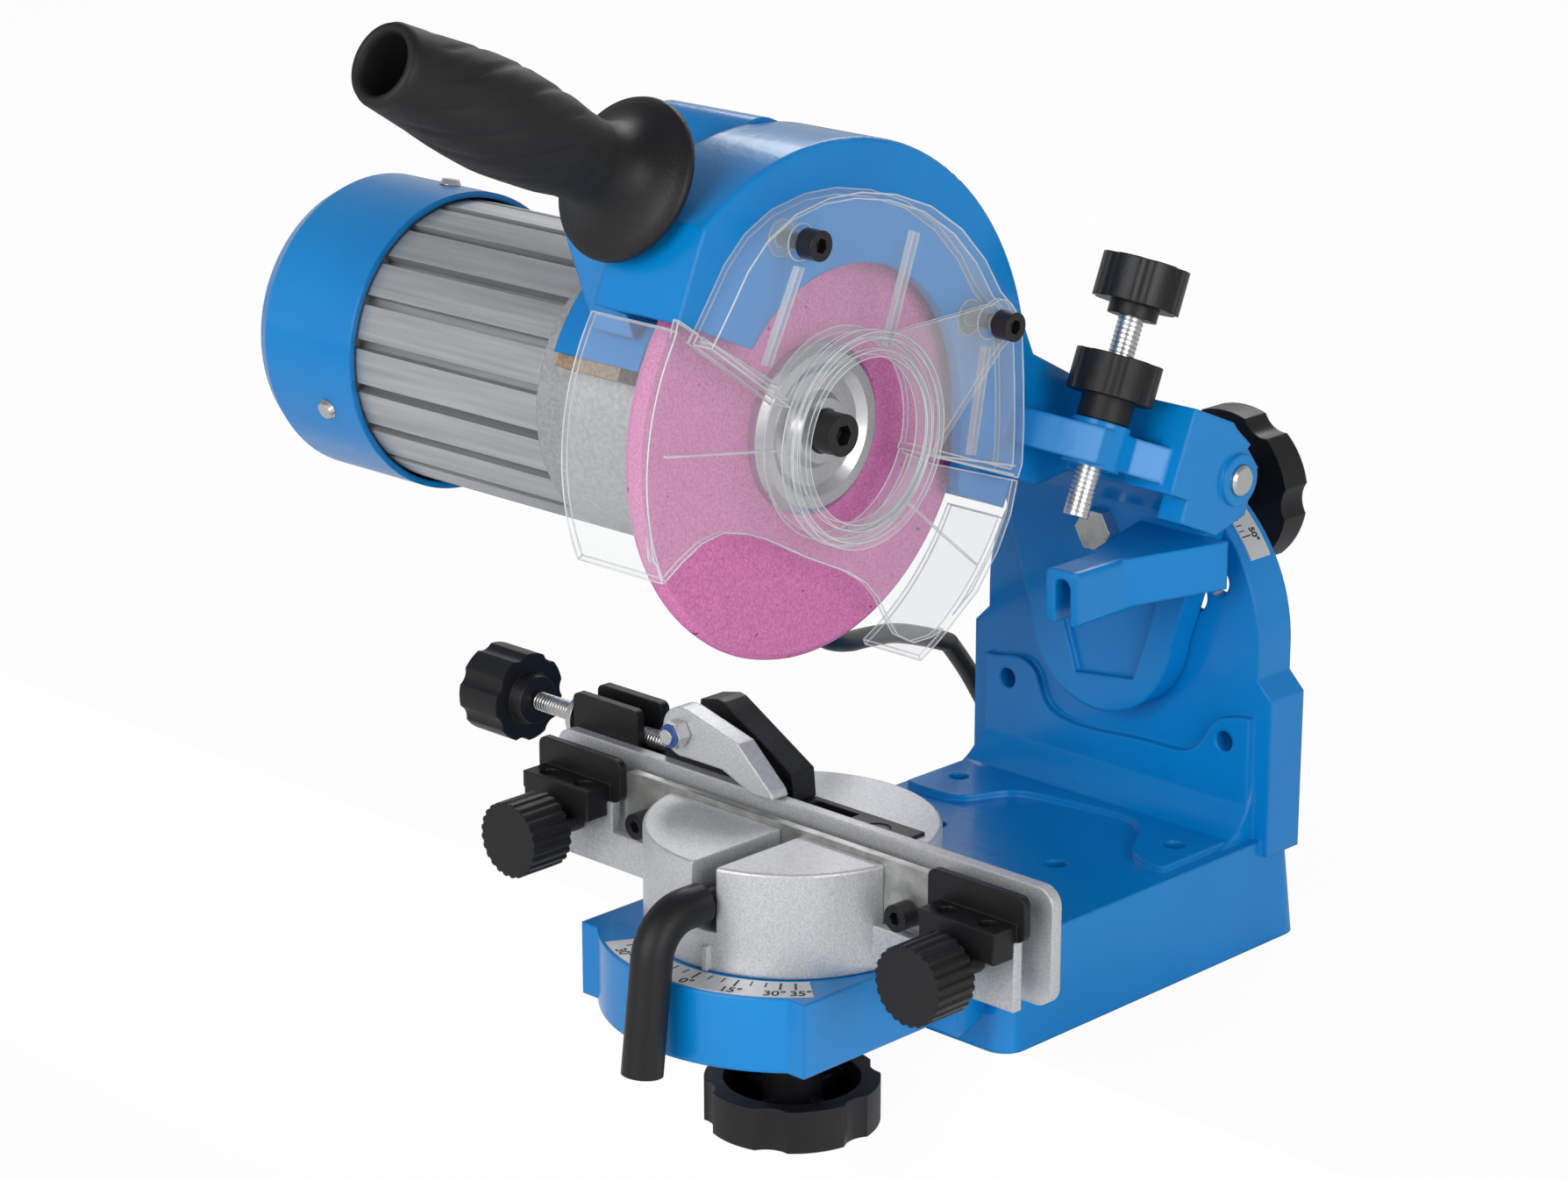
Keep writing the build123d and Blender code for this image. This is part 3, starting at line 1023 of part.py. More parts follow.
bell = [(BELL_FRONT_X, 17), (BELL_FRONT_X, 38), (BELL_FRONT_X - 4, 42), (BELL_FRONT_X - 30, MOTOR_R),
        (STATOR_FRONT_X - SEAT, MOTOR_R), (STATOR_FRONT_X - SEAT, 40), (BELL_FRONT_X - 14, 36),
        (BELL_FRONT_X - 14, 17)]
save(turned(*bell), "front_bell")
front_ring = turned((BELL_FRONT_X - 1, SHAFT_R + SEAT), (BELL_FRONT_X - 1, 17 - SEAT), (BELL_FRONT_X - 12, 17 - SEAT),
                    (BELL_FRONT_X - 12, SHAFT_R + SEAT))
rear_ring = turned((STATOR_REAR_X - 0.5, SHAFT_R + SEAT), (STATOR_REAR_X - 0.5, 13 - SEAT),
                   (STATOR_REAR_X - 7.5, 13 - SEAT), (STATOR_REAR_X - 7.5, SHAFT_R + SEAT))
save(front_ring + rear_ring, "bearings")

with BuildPart() as stator_tube:
    with BuildSketch(Plane.YZ.offset(STATOR_REAR_X)):
        with Locations((SPINDLE_Y, SPINDLE_Z)):
            Circle(MOTOR_R)
            Circle(MOTOR_R - FIN_DEPTH - 3, mode=Mode.SUBTRACT)
    extrude(amount=STATOR_FRONT_X - STATOR_REAR_X - SEAT)
    # slots between the wide flat fins; the bottom keeps a plain panel
    with BuildSketch(Plane.YZ.offset(STATOR_REAR_X - 1)):
        for i in range(FIN_COUNT):
            fin_angle = -90 + (i + 0.5) * 360 / FIN_COUNT
            if abs(fin_angle + 90) > 25 and abs(fin_angle - 270) > 25:
                r = MOTOR_R - FIN_DEPTH / 2 + 0.5
                place = (SPINDLE_Y + r * cos(radians(fin_angle)), SPINDLE_Z + r * sin(radians(fin_angle)))
                with Locations(Location(place, fin_angle)):
                    Rectangle(FIN_DEPTH + 1, 3.2)
    extrude(amount=STATOR_FRONT_X - STATOR_REAR_X + 2, mode=Mode.SUBTRACT)
save(stator_tube.part, "stator_tube")

bore_r = MOTOR_R - FIN_DEPTH - 3
stator_core = turned((STATOR_REAR_X + 14, 22.5), (STATOR_REAR_X + 14, bore_r - SEAT),
                     (STATOR_FRONT_X - 14, bore_r - SEAT), (STATOR_FRONT_X - 14, 22.5))
save(stator_core, "stator_core")
rear_bell = turned((STATOR_REAR_X - 0.1, 13), (STATOR_REAR_X - 0.1, MOTOR_R - 1), (STATOR_REAR_X - 6, MOTOR_R - 1),
                   (STATOR_REAR_X - 6, 15), (STATOR_REAR_X - 8, 13))
save(rear_bell, "rear_bell")

# Fan cover with the air slots in its end
cap_shell = turned((CAP_FRONT_X, MOTOR_R + 1), (CAP_FRONT_X, CAP_R), (CAP_REAR_X + 10, CAP_R),
                   (CAP_REAR_X + 4, CAP_R - 3), (CAP_REAR_X, CAP_R - 10), (CAP_REAR_X, 24), (CAP_REAR_X + 2, 24),
                   (CAP_REAR_X + 2, CAP_R - 11), (CAP_REAR_X + 5, CAP_R - 5), (CAP_REAR_X + 11, CAP_R - 2),
                   (-172, CAP_R - 2), (-171, MOTOR_R + 1))
with BuildPart() as fan_cover:
    add(cap_shell)
    with BuildSketch(Plane.YZ.offset(CAP_REAR_X)):
        with Locations((SPINDLE_Y, SPINDLE_Z)):
            Circle(25)
            with PolarLocations(15.5, 8):
                SlotOverall(11, 3.4, mode=Mode.SUBTRACT)
    extrude(amount=2)
save(fan_cover.part, "fan_cover")
with BuildPart() as cover_screws:
    for screw_angle in (200, 320, 80):
        direction = (0, cos(radians(screw_angle)), sin(radians(screw_angle)))
        place = (-167, SPINDLE_Y + (CAP_R + SEAT) * direction[1], SPINDLE_Z + (CAP_R + SEAT) * direction[2])
        with BuildSketch(Plane(origin=place, z_dir=direction)):
            Circle(3.6)
        extrude(amount=1.8, taper=25)
save(cover_screws.part, "cover_screws")

# Gasket ring between the head's collar and the bell
with BuildPart() as bell_gasket:
    with BuildSketch(head_plane(BELL_FRONT_X - 29)):
        Circle(MOTOR_R + 9)
        Circle(MOTOR_R + 1, mode=Mode.SUBTRACT)
        with Locations((0, -3 - 100)):
            Rectangle(4 * HOOD_R, 200, mode=Mode.SUBTRACT)
        with Locations((0, 1 - SEAT + 100)):
            Rectangle(4 * HOOD_R, 200, mode=Mode.SUBTRACT)
    extrude(amount=27)
save(bell_gasket.part, "bell_gasket")

# Spindle: shaft, rotor, fan, flanges, wheel and bolt
save(turned((9, 0), (9, 6), (5, 6), (5, SHAFT_R), (-185, SHAFT_R), (-185, 0)), "motor_shaft")
rotor = turned((STATOR_FRONT_X - 10, SHAFT_R + SEAT), (STATOR_FRONT_X - 10, 22), (STATOR_REAR_X + 10, 22),
               (STATOR_REAR_X + 10, SHAFT_R + SEAT))
save(rotor, "rotor")
with BuildPart() as cooling_fan:
    with BuildSketch(Plane.YZ.offset(-182)):
        with Locations((SPINDLE_Y, SPINDLE_Z)):
            Circle(40)
            Circle(SHAFT_R + SEAT, mode=Mode.SUBTRACT)
    extrude(amount=2)
    with BuildSketch(Plane.YZ.offset(-180)):
        with Locations((SPINDLE_Y, SPINDLE_Z)):
            with PolarLocations(26, 8):
                Rectangle(26, 2)
    extrude(amount=12)
save(cooling_fan.part, "cooling_fan")
inner_flange = turned((-WHEEL_T / 2 - SEAT, SHAFT_R + SEAT), (-WHEEL_T / 2 - SEAT, HUB_R), (-8, HUB_R), (-14, 14),
                      (-19, 14), (-19, SHAFT_R + SEAT))
save(inner_flange, "inner_flange")
grinding_wheel = turned((-WHEEL_T / 2, WHEEL_BORE_R), (-WHEEL_T / 2, WHEEL_R - 2.2), (-1.6, WHEEL_R - 0.4),
                        (0, WHEEL_R), (1.6, WHEEL_R - 0.4), (WHEEL_T / 2, WHEEL_R - 2.2), (WHEEL_T / 2, WHEEL_BORE_R))
save(grinding_wheel, "grinding_wheel")
# dished outer flange in one piece with the bush that centres the wheel
outer_flange = turned((-WHEEL_T / 2 + 0.2, SHAFT_R + SEAT), (-WHEEL_T / 2 + 0.2, WHEEL_BORE_R - SEAT),
                      (WHEEL_T / 2 + SEAT, WHEEL_BORE_R - SEAT), (WHEEL_T / 2 + SEAT, HUB_R), (6, HUB_R),
                      (8, HUB_R - 2.5), (8, HUB_R - 6), (6, HUB_R - 9), (6, 12), (9.2, 10), (9.2, SHAFT_R + SEAT))
save(outer_flange, "outer_flange")
with BuildPart() as flange_bolt:
    with BuildSketch(Plane.YZ.offset(9.3)):
        with Locations((SPINDLE_Y, SPINDLE_Z)):
            Circle(6.5)
    extrude(amount=8)
    with BuildSketch(Plane.YZ.offset(13)):
        with Locations((SPINDLE_Y, SPINDLE_Z)):
            RegularPolygon(3.4, 6)
    extrude(amount=5, mode=Mode.SUBTRACT)
save(flange_bolt.part, "flange_bolt")

# =====================================================================================
# Clear guard over the wheel, its screws and the swinging hub cover
# =====================================================================================
hub_back, hub_up = 0.0, 0.3          # middle of the guard's hub opening, in head axes
hub_hole_r = 30.5
guard_pin = (66.0, 22.2 + LEAN)      # right guard screw, on which the hub cover swings
guard_screw_places = (polar(67.0, 109.4 + LEAN), polar(*guard_pin))
pin_back, pin_up = polar(*guard_pin)


# outlines of the two faces as (back, up) points
low_outline = [
    (-79.8, 16.8), (-64, 13.6), (-42.1, 10.1), (-22, 6.8), (0, 6), (12, 2), (44.7, 0.2), (87.4, 3.3),
    (88.8, -7.4), (87.5, -19.4), (83.2, -33.5), (76.2, -44.4), (67.5, -51.2), (59.9, -54.3),
    (51.5, -53.3), (44.4, -48.7), (37.7, -43.7), (30.6, -40.5), (20.7, -38.7), (1.9, -37.9), (-18, -36),
    (-27.3, -36.1), (-37.6, -37.8), (-45.2, -42.5), (-51, -49.2), (-55.5, -55.6), (-63, -50.9),
    (-70.3, -38.6), (-75.6, -24.5), (-78.7, -7.1),
]
high_outline = [
    (-71.4, 11.7), (-70, 16.6), (-67.8, 25.7), (-65.5, 36.2), (-60.8, 46.7), (-52.7, 56.1), (-40.9, 64),
    (-28.5, 69), (-13.5, 72.2), (3.4, 72.9), (19.8, 69.9), (34.2, 63.9), (45.3, 56.5), (54.9, 52.6),
    (60.8, 46.6), (67.9, 32.7), (74.1, 19.2), (78.1, 8.5), (78, 4), (32.3, 2), (6, -2), (-6, 2),
    (-28.4, 1.8),
]
with BuildPart() as wheel_guard:
    with BuildSketch(head_plane(GUARD_LOW_X - GUARD_T)):
        Polygon(*low_outline, align=None)
        with Locations((hub_back, hub_up)):
            Circle(hub_hole_r, mode=Mode.SUBTRACT)
    extrude(amount=GUARD_T)
    with BuildSketch(head_plane(GUARD_HIGH_X - GUARD_T)):
        Polygon(*high_outline, align=None)
        with Locations((hub_back, hub_up)):
            Circle(hub_hole_r, mode=Mode.SUBTRACT)
    extrude(amount=GUARD_T)
    # rim of the raised face down to the hood
    with BuildSketch(head_plane(HOOD_FRONT_X + SEAT)):
        Polygon(*high_outline, align=None)
        offset(amount=-GUARD_T, mode=Mode.SUBTRACT, kind=Kind.INTERSECTION)
        with Locations((hub_back, hub_up)):
            Circle(hub_hole_r, mode=Mode.SUBTRACT)
    extrude(amount=GUARD_HIGH_X - GUARD_T - HOOD_FRONT_X)
    # collar round the hub opening
    with BuildSketch(head_plane(GUARD_LOW_X - GUARD_T)):
        with Locations((hub_back, hub_up)):
            Circle(hub_hole_r + GUARD_T)
            Circle(hub_hole_r, mode=Mode.SUBTRACT)
    extrude(amount=GUARD_HIGH_X - GUARD_LOW_X + GUARD_T)
    # side wall round the left and the bottom left of the wheel
    with BuildSketch(head_plane(HOOD_REAR_X + 2)):
        Circle(GUARD_R)
        Circle(GUARD_R - GUARD_T, mode=Mode.SUBTRACT)
        wedge(0, 0, 3 * GUARD_R, 170, 225)
    extrude(amount=GUARD_LOW_X - HOOD_REAR_X - 2)
    # side wall of the right lobe
    with BuildSketch(head_plane(-8)):
        Circle(LOBE_R)
        Circle(LOBE_R - GUARD_T, mode=Mode.SUBTRACT)
        wedge(0, 0, 3 * LOBE_R, 318, 354)
    extrude(amount=GUARD_LOW_X + 8)
    # screw posts
    with BuildSketch(head_plane(HOOD_FRONT_X + SEAT)):
        with Locations(*guard_screw_places):
            Circle(5.5)
    extrude(amount=GUARD_HIGH_X - HOOD_FRONT_X - SEAT)
    with BuildSketch(head_plane(HOOD_FRONT_X)):
        with Locations(*guard_screw_places):
            Circle(2.6)
    extrude(amount=30, mode=Mode.SUBTRACT)
save(wheel_guard.part, "wheel_guard")

cover_x = GUARD_HIGH_X + GAP
with BuildPart() as hub_cover:
    with BuildSketch(head_plane(cover_x)):
        with Locations((hub_back, hub_up)):
            Circle(COVER_R)
        with Locations((pin_back, pin_up)):
            Circle(7.5)
        with BuildLine():
            away = atan2(pin_up - hub_up, pin_back - hub_back)
            normal = (-sin(away), cos(away))
            Polyline((hub_back + (COVER_R - 1) * normal[0], hub_up + (COVER_R - 1) * normal[1]),
                     (pin_back + 7 * normal[0], pin_up + 7 * normal[1]),
                     (pin_back - 7 * normal[0], pin_up - 7 * normal[1]),
                     (hub_back - (COVER_R - 1) * normal[0], hub_up - (COVER_R - 1) * normal[1]), close=True)
        make_face()
        with Locations((hub_back, hub_up)):
            Circle(COVER_HOLE_R, mode=Mode.SUBTRACT)
        with Locations((pin_back, pin_up)):
            Circle(2.5 + RUN, mode=Mode.SUBTRACT)
    extrude(amount=GUARD_T)
    with BuildSketch(head_plane(cover_x)):
        with Locations((hub_back, hub_up)):
            Circle(COVER_R)
            Circle(COVER_R - GUARD_T, mode=Mode.SUBTRACT)
            Circle(COVER_HOLE_R + GUARD_T)
            Circle(COVER_HOLE_R, mode=Mode.SUBTRACT)
    extrude(amount=4.5)
save(hub_cover.part, "hub_cover")

with BuildPart() as guard_screws:
    screw_seats = (GUARD_HIGH_X + SEAT, cover_x + GUARD_T + GAP)
    for place, seat_x in zip(guard_screw_places, screw_seats):
        with BuildSketch(head_plane(HOOD_FRONT_X + 0.2)):
            with Locations(place):
                Circle(2.5)
        extrude(amount=seat_x - HOOD_FRONT_X)
        with BuildSketch(head_plane(seat_x)):
            with Locations(place):
                Circle(4.6)
        extrude(amount=6)
        with BuildSketch(head_plane(seat_x + 3)):
            with Locations(place):
                RegularPolygon(2.4, 6)
        extrude(amount=4, mode=Mode.SUBTRACT)
save(guard_screws.part, "guard_screws")

# =====================================================================================
# Switch box behind the hood, its rocker, and the mains lead
# =====================================================================================
box_front_x, box_rear_x = HOOD_REAR_X - 0.2, -62.0
rocker_back, rocker_up = -16.0, 70.0
with BuildPart() as switch_box:
    with BuildSketch(head_plane(box_rear_x)):
        with Locations((-16, 70)):
            RectangleRounded(44, 32, 12)
        Circle(MOTOR_R + 10.3, mode=Mode.SUBTRACT)
    extrude(amount=box_front_x - box_rear_x)
    # raised bezel of the rocker, and its pocket
    with BuildSketch(head_plane(box_rear_x - 1.5)):
        with Locations((rocker_back, rocker_up)):
            Rectangle(26, 18)
    extrude(amount=1.5)
    with BuildSketch(head_plane(box_rear_x - 2)):
        with Locations((rocker_back, rocker_up)):
            Rectangle(18, 10.6)
    extrude(amount=15, mode=Mode.SUBTRACT)
save(switch_box.part, "switch_box")

with BuildPart() as switch_rocker:
    with BuildSketch(Plane(origin=head_point(box_rear_x, rocker_back, rocker_up - 4.8), x_dir=head_plane(0).x_dir,
                           z_dir=head_plane(0).y_dir)):
        with BuildLine():
            Polyline((-8, 1.5), (-8, 4.2), (0, 1.8), (8, 1.8), (8, -1), (1.5, -5), (-1.5, -5), close=True)
        make_face()
    extrude(amount=9.6)
save(switch_rocker.part, "switch_rocker")

CORD_R = 3.5
gland_angle = radians(-60)
gland_dir = (0, cos(gland_angle), sin(gland_angle))
gland_x = -44.0


def gland_point(distance):
    return (gland_x, SPINDLE_Y + distance * gland_dir[1], SPINDLE_Z + distance * gland_dir[2])


# Strain relief on the underside of the bell
with BuildPart() as cable_gland:
    with BuildSketch(Plane(origin=gland_point(MOTOR_R + 0.6), z_dir=gland_dir)):
        Circle(8)
    extrude(amount=4)
    with BuildSketch(Plane(origin=gland_point(MOTOR_R + 4.6), z_dir=gland_dir)):
        Circle(6)
    extrude(amount=22, taper=4)
save(cable_gland.part, "cable_gland")

coil_x, coil_y = -58.0, 104.0
coil_inner_r, coil_outer_r, coil_h = 31.5, 45.5, 21.0
upper_route = [gland_point(MOTOR_R + 26.6 + SEAT), gland_point(MOTOR_R + 56.1), (-54.5, -50, 95.3),
               (-70, -22, 87.5), (-82, 10, 79.5), (-90, 42, 66)]
lower_route = [(-90, 42, 66), (-96, 64, 44), (-99, 80, 22), (-99, 98, 8)]


def corner_radii(route):
    """As large an arc at each corner as its two runs allow."""
    radii = []
    for before, at, after in zip(route, route[1:], route[2:]):
        into = Vector(*at) - Vector(*before)
        out = Vector(*after) - Vector(*at)
        turn = radians(into.get_angle(out))
        radii.append(0.45 * min(into.length, out.length) / tan(turn / 2))
    return radii


def cord_tube(route, name):
    radii = corner_radii(route)
    with BuildPart() as tube:
        with BuildLine() as path:
            FilletPolyline(*route, radius=radii)
        wire = path.wires()[0]
        with BuildSketch(Plane(origin=route[0], z_dir=Vector(*route[1]) - Vector(*route[0]))):
            Circle(CORD_R)
        sweep()
    save(tube.part, name)
    length = wire.length
    section = pi * CORD_R ** 2
    print(name, "length", round(length), "radii", [round(r) for r in radii],
          "volume ratio", round(tube.part.volume / (section * length), 4))


cord_tube(upper_route, "cord_upper")
cord_tube(lower_route, "cord_lower")

with BuildPart() as cord_coil:
    with BuildSketch(Plane.XY):
        with Locations((coil_x, coil_y)):
            Circle(coil_outer_r)
            Circle(coil_inner_r, mode=Mode.SUBTRACT)
    extrude(amount=coil_h)
save(cord_coil.part, "cord_coil")

# the end of the lead leaves the coil's outermost bottom turn and runs to the plug beside it
plug_x, plug_back_y, plug_z = 1.0, 94.0, 14.8
tail_route = [(-50, 145, CORD_R), (-23, 140.5, CORD_R + 1.5), (plug_x - 5, plug_back_y + 28, plug_z - 3.8),
              (plug_x, plug_back_y + SEAT, plug_z)]
cord_tube(tail_route, "cord_tail")

# Moulded mains plug with two pins, lying on the bench beside the coil
with BuildPart() as plug:
    with BuildSketch(Plane.XZ.offset(-plug_back_y)):
        with Locations((plug_x, plug_z)):
            RectangleRounded(26, 29, 9)
    extrude(amount=24)
    with BuildSketch(Plane.XZ.offset(-plug_back_y + 24)):
        with Locations((plug_x + 9.5, plug_z), (plug_x - 9.5, plug_z)):
            Circle(2.4)
    extrude(amount=14)
save(plug.part, "plug")
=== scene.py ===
import math
import bpy
import bmesh
from mathutils import Matrix, Vector


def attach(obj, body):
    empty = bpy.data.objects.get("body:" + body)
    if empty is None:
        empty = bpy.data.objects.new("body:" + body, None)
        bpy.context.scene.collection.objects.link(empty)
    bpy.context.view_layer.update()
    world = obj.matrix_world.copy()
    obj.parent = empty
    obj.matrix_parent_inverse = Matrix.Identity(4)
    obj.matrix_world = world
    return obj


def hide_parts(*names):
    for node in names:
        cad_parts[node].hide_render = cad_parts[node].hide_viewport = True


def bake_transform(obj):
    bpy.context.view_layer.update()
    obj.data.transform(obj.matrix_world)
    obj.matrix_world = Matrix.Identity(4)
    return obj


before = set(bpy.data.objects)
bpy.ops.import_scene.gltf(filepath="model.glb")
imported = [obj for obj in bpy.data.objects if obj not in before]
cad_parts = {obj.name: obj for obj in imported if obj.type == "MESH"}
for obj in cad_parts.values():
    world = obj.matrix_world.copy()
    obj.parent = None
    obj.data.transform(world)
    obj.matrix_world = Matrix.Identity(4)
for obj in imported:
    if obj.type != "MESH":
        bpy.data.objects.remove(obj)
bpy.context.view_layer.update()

MM = 0.001

# Camera: a long lens that looks down a little on the front right corner of the machine.
camera_data = bpy.data.cameras.new("camera")
camera_data.lens = 94.63
camera_data.sensor_width = 36.0
camera = bpy.data.objects.new("camera", camera_data)
camera.location = (0.829745, -0.993944, 0.518984)
camera.rotation_euler = Vector((-0.6629, 0.6864, -0.2990)).to_track_quat("-Z", "Y").to_euler()
bpy.context.collection.objects.link(camera)
bpy.context.scene.camera = camera
bpy.context.scene.view_settings.view_transform = "Standard"

# Bench and floor: the machine is bolted to the front edge of a pale bench, so that its deck and
# the knob under it stand out over the edge. Both are plain and pale, and only carry the shadow.
bench_edge_y = -0.098
floor_z = -0.16
studio = bpy.data.meshes.new("studio_floor")
studio.from_pydata(
    [(-4, bench_edge_y, 0), (4, bench_edge_y, 0), (4, 6, 0), (-4, 6, 0),
     (-4, bench_edge_y, floor_z), (4, bench_edge_y, floor_z), (4, -4, floor_z), (-4, -4, floor_z)],
    [], [(0, 1, 2, 3), (4, 5, 1, 0), (7, 6, 5, 4)])
studio_floor = bpy.data.objects.new("studio_floor", studio)
bpy.context.collection.objects.link(studio_floor)

pale = bpy.data.materials.new("pale_floor")
pale.use_nodes = True
nodes, links = pale.node_tree.nodes, pale.node_tree.links
nodes["Principled BSDF"].inputs["Base Color"].default_value = (0.86, 0.86, 0.86, 1)
nodes["Principled BSDF"].inputs["Roughness"].default_value = 0.9
glow = nodes.new("ShaderNodeEmission")
glow.inputs["Color"].default_value = (1, 1, 1, 1)
light_path = nodes.new("ShaderNodeLightPath")
seen = nodes.new("ShaderNodeMath")
seen.operation = "MULTIPLY"
seen.inputs[1].default_value = 0.95
blend_in = nodes.new("ShaderNodeMixShader")
links.new(light_path.outputs["Is Camera Ray"], seen.inputs[0])
links.new(seen.outputs[0], blend_in.inputs["Fac"])
links.new(nodes["Principled BSDF"].outputs[0], blend_in.inputs[1])
links.new(glow.outputs[0], blend_in.inputs[2])
links.new(blend_in.outputs[0], nodes["Material Output"].inputs["Surface"])
studio.materials.append(pale)

# Studio light: white surroundings, darker overhead, one large soft lamp in front of the machine,
# a weaker one at its right and one behind it on the left.
world = bpy.data.worlds.new("studio")
bpy.context.scene.world = world
world.use_nodes = True
nodes, links = world.node_tree.nodes, world.node_tree.links
surround = nodes["Background"]
surround.inputs["Strength"].default_value = 0.62
coords = nodes.new("ShaderNodeTexCoord")
height = nodes.new("ShaderNodeSeparateXYZ")
ramp = nodes.new("ShaderNodeValToRGB")
ramp.color_ramp.elements[0].position = 0.0
ramp.color_ramp.elements[0].color = (1, 1, 1, 1)
ramp.color_ramp.elements[1].position = 0.75
ramp.color_ramp.elements[1].color = (0.42, 0.43, 0.45, 1)
links.new(coords.outputs["Generated"], height.inputs[0])
links.new(height.outputs["Z"], ramp.inputs[0])
links.new(ramp.outputs[0], surround.inputs["Color"])
backdrop = nodes.new("ShaderNodeBackground")
backdrop.inputs["Color"].default_value = (1, 1, 1, 1)
light_path = nodes.new("ShaderNodeLightPath")
either = nodes.new("ShaderNodeMath")
either.operation = "MAXIMUM"
choose = nodes.new("ShaderNodeMixShader")
links.new(light_path.outputs["Is Camera Ray"], either.inputs[0])
links.new(light_path.outputs["Is Transmission Ray"], either.inputs[1])
links.new(either.outputs[0], choose.inputs["Fac"])
links.new(surround.outputs[0], choose.inputs[1])
links.new(backdrop.outputs[0], choose.inputs[2])
links.new(choose.outputs[0], nodes["World Output"].inputs["Surface"])


def soft_lamp(name, place, size, watts):
    data = bpy.data.lights.new(name, "AREA")
    data.shape = "RECTANGLE"
    data.size, data.size_y = size
    data.energy = watts
    lamp = bpy.data.objects.new(name, data)
    lamp.location = place
    lamp.rotation_euler = (Vector((-0.03, -0.08, 0.13)) - Vector(place)).to_track_quat("-Z", "Y").to_euler()
    bpy.context.collection.objects.link(lamp)


soft_lamp("front_lamp", (0.1, -1.7, 0.75), (1.2, 1.0), 16)
soft_lamp("right_lamp", (1.7, -0.5, 0.6), (0.9, 1.0), 12)
soft_lamp("back_lamp", (-0.9, 1.3, 1.3), (1.2, 0.6), 10)


# Mains lead: a 7 mm round lead in soft black PVC. It leaves the relief under the motor's end bell,
# passes down beside the wall and ends in a coil and its plug on the bench. It is two pieces that
# meet beside the wall.
def finish(name, colour, roughness, metallic=0.0, specular=0.5):
    """Material with a plain shader, to which the pieces' own sections add their texture."""
    material = bpy.data.materials.new(name)
    material.use_nodes = True
    shader = material.node_tree.nodes["Principled BSDF"]
    shader.inputs["Base Color"].default_value = (*colour, 1)
    shader.inputs["Roughness"].default_value = roughness
    shader.inputs["Metallic"].default_value = metallic
    shader.inputs["Specular IOR Level"].default_value = specular
    material.diffuse_color = (*colour, 1)
    return material


def noise(material, scale, detail=3.0, stretch=(1, 1, 1)):
    nodes, links = material.node_tree.nodes, material.node_tree.links
    place = nodes.new("ShaderNodeTexCoord")
    mapping = nodes.new("ShaderNodeMapping")
    mapping.inputs["Scale"].default_value = stretch
    texture = nodes.new("ShaderNodeTexNoise")
    texture.inputs["Scale"].default_value = scale
    texture.inputs["Detail"].default_value = detail
    links.new(place.outputs["Object"], mapping.inputs["Vector"])
    links.new(mapping.outputs[0], texture.inputs["Vector"])
    return texture


def add_bump(material, texture, depth, strength=1.0):
    nodes, links = material.node_tree.nodes, material.node_tree.links
    shader = nodes["Principled BSDF"]
    bump = nodes.new("ShaderNodeBump")
    bump.inputs["Distance"].default_value = depth
    bump.inputs["Strength"].default_value = strength
    if shader.inputs["Normal"].links:
        links.new(shader.inputs["Normal"].links[0].from_socket, bump.inputs["Normal"])
    links.new(texture.outputs[0], bump.inputs["Height"])
    links.new(bump.outputs[0], shader.inputs["Normal"])


def vary(material, texture, low, high, start=0.35, end=0.65, socket="Base Color"):
    """Colour or roughness between two values, by a texture."""
    nodes, links = material.node_tree.nodes, material.node_tree.links
    shader = nodes["Principled BSDF"]
    ramp = nodes.new("ShaderNodeValToRGB")
    ramp.color_ramp.elements[0].position = start
    ramp.color_ramp.elements[1].position = end
    if socket != "Base Color":
        low, high = (low,) * 3, (high,) * 3
    ramp.color_ramp.elements[0].color = (*low, 1)
    ramp.color_ramp.elements[1].color = (*high, 1)
    links.new(texture.outputs[0], ramp.inputs[0])
    links.new(ramp.outputs[0], shader.inputs[socket])


def round_edges(material, radius):
    """Edges of castings and mouldings catch the light on a small radius."""
    nodes, links = material.node_tree.nodes, material.node_tree.links
    soft = nodes.new("ShaderNodeBevel")
    soft.samples = 6
    soft.inputs["Radius"].default_value = radius
    links.new(soft.outputs[0], nodes["Principled BSDF"].inputs["Normal"])


black_pvc = finish("black_pvc", (0.012, 0.012, 0.013), 0.42)
add_bump(black_pvc, noise(black_pvc, 900), 0.00008)

gland_x, gland_slope = -44.0, math.radians(-60)
spindle_y, spindle_z = -127.0, 195.0


def gland_point(out):
    return (gland_x, spindle_y + out * math.cos(gland_slope), spindle_z + out * math.sin(gland_slope))


lead_r = 3.5
meet = (-90, 42, 66)
relief_end, run_end = 72.65, 102.1
upper_lead = [gland_point(relief_end), gland_point(run_end), (-54.5, -50, 95.3), (-70, -22, 87.5),
              (-82, 10, 79.5), meet]
lower_lead = [meet, (-93.5, 54, 55), (-96.5, 66, 41), (-98.5, 76, 28), (-99.5, 84, 17.5), (-100.2, 92, 9)]
coil_x, coil_y = -58.0, 104.0
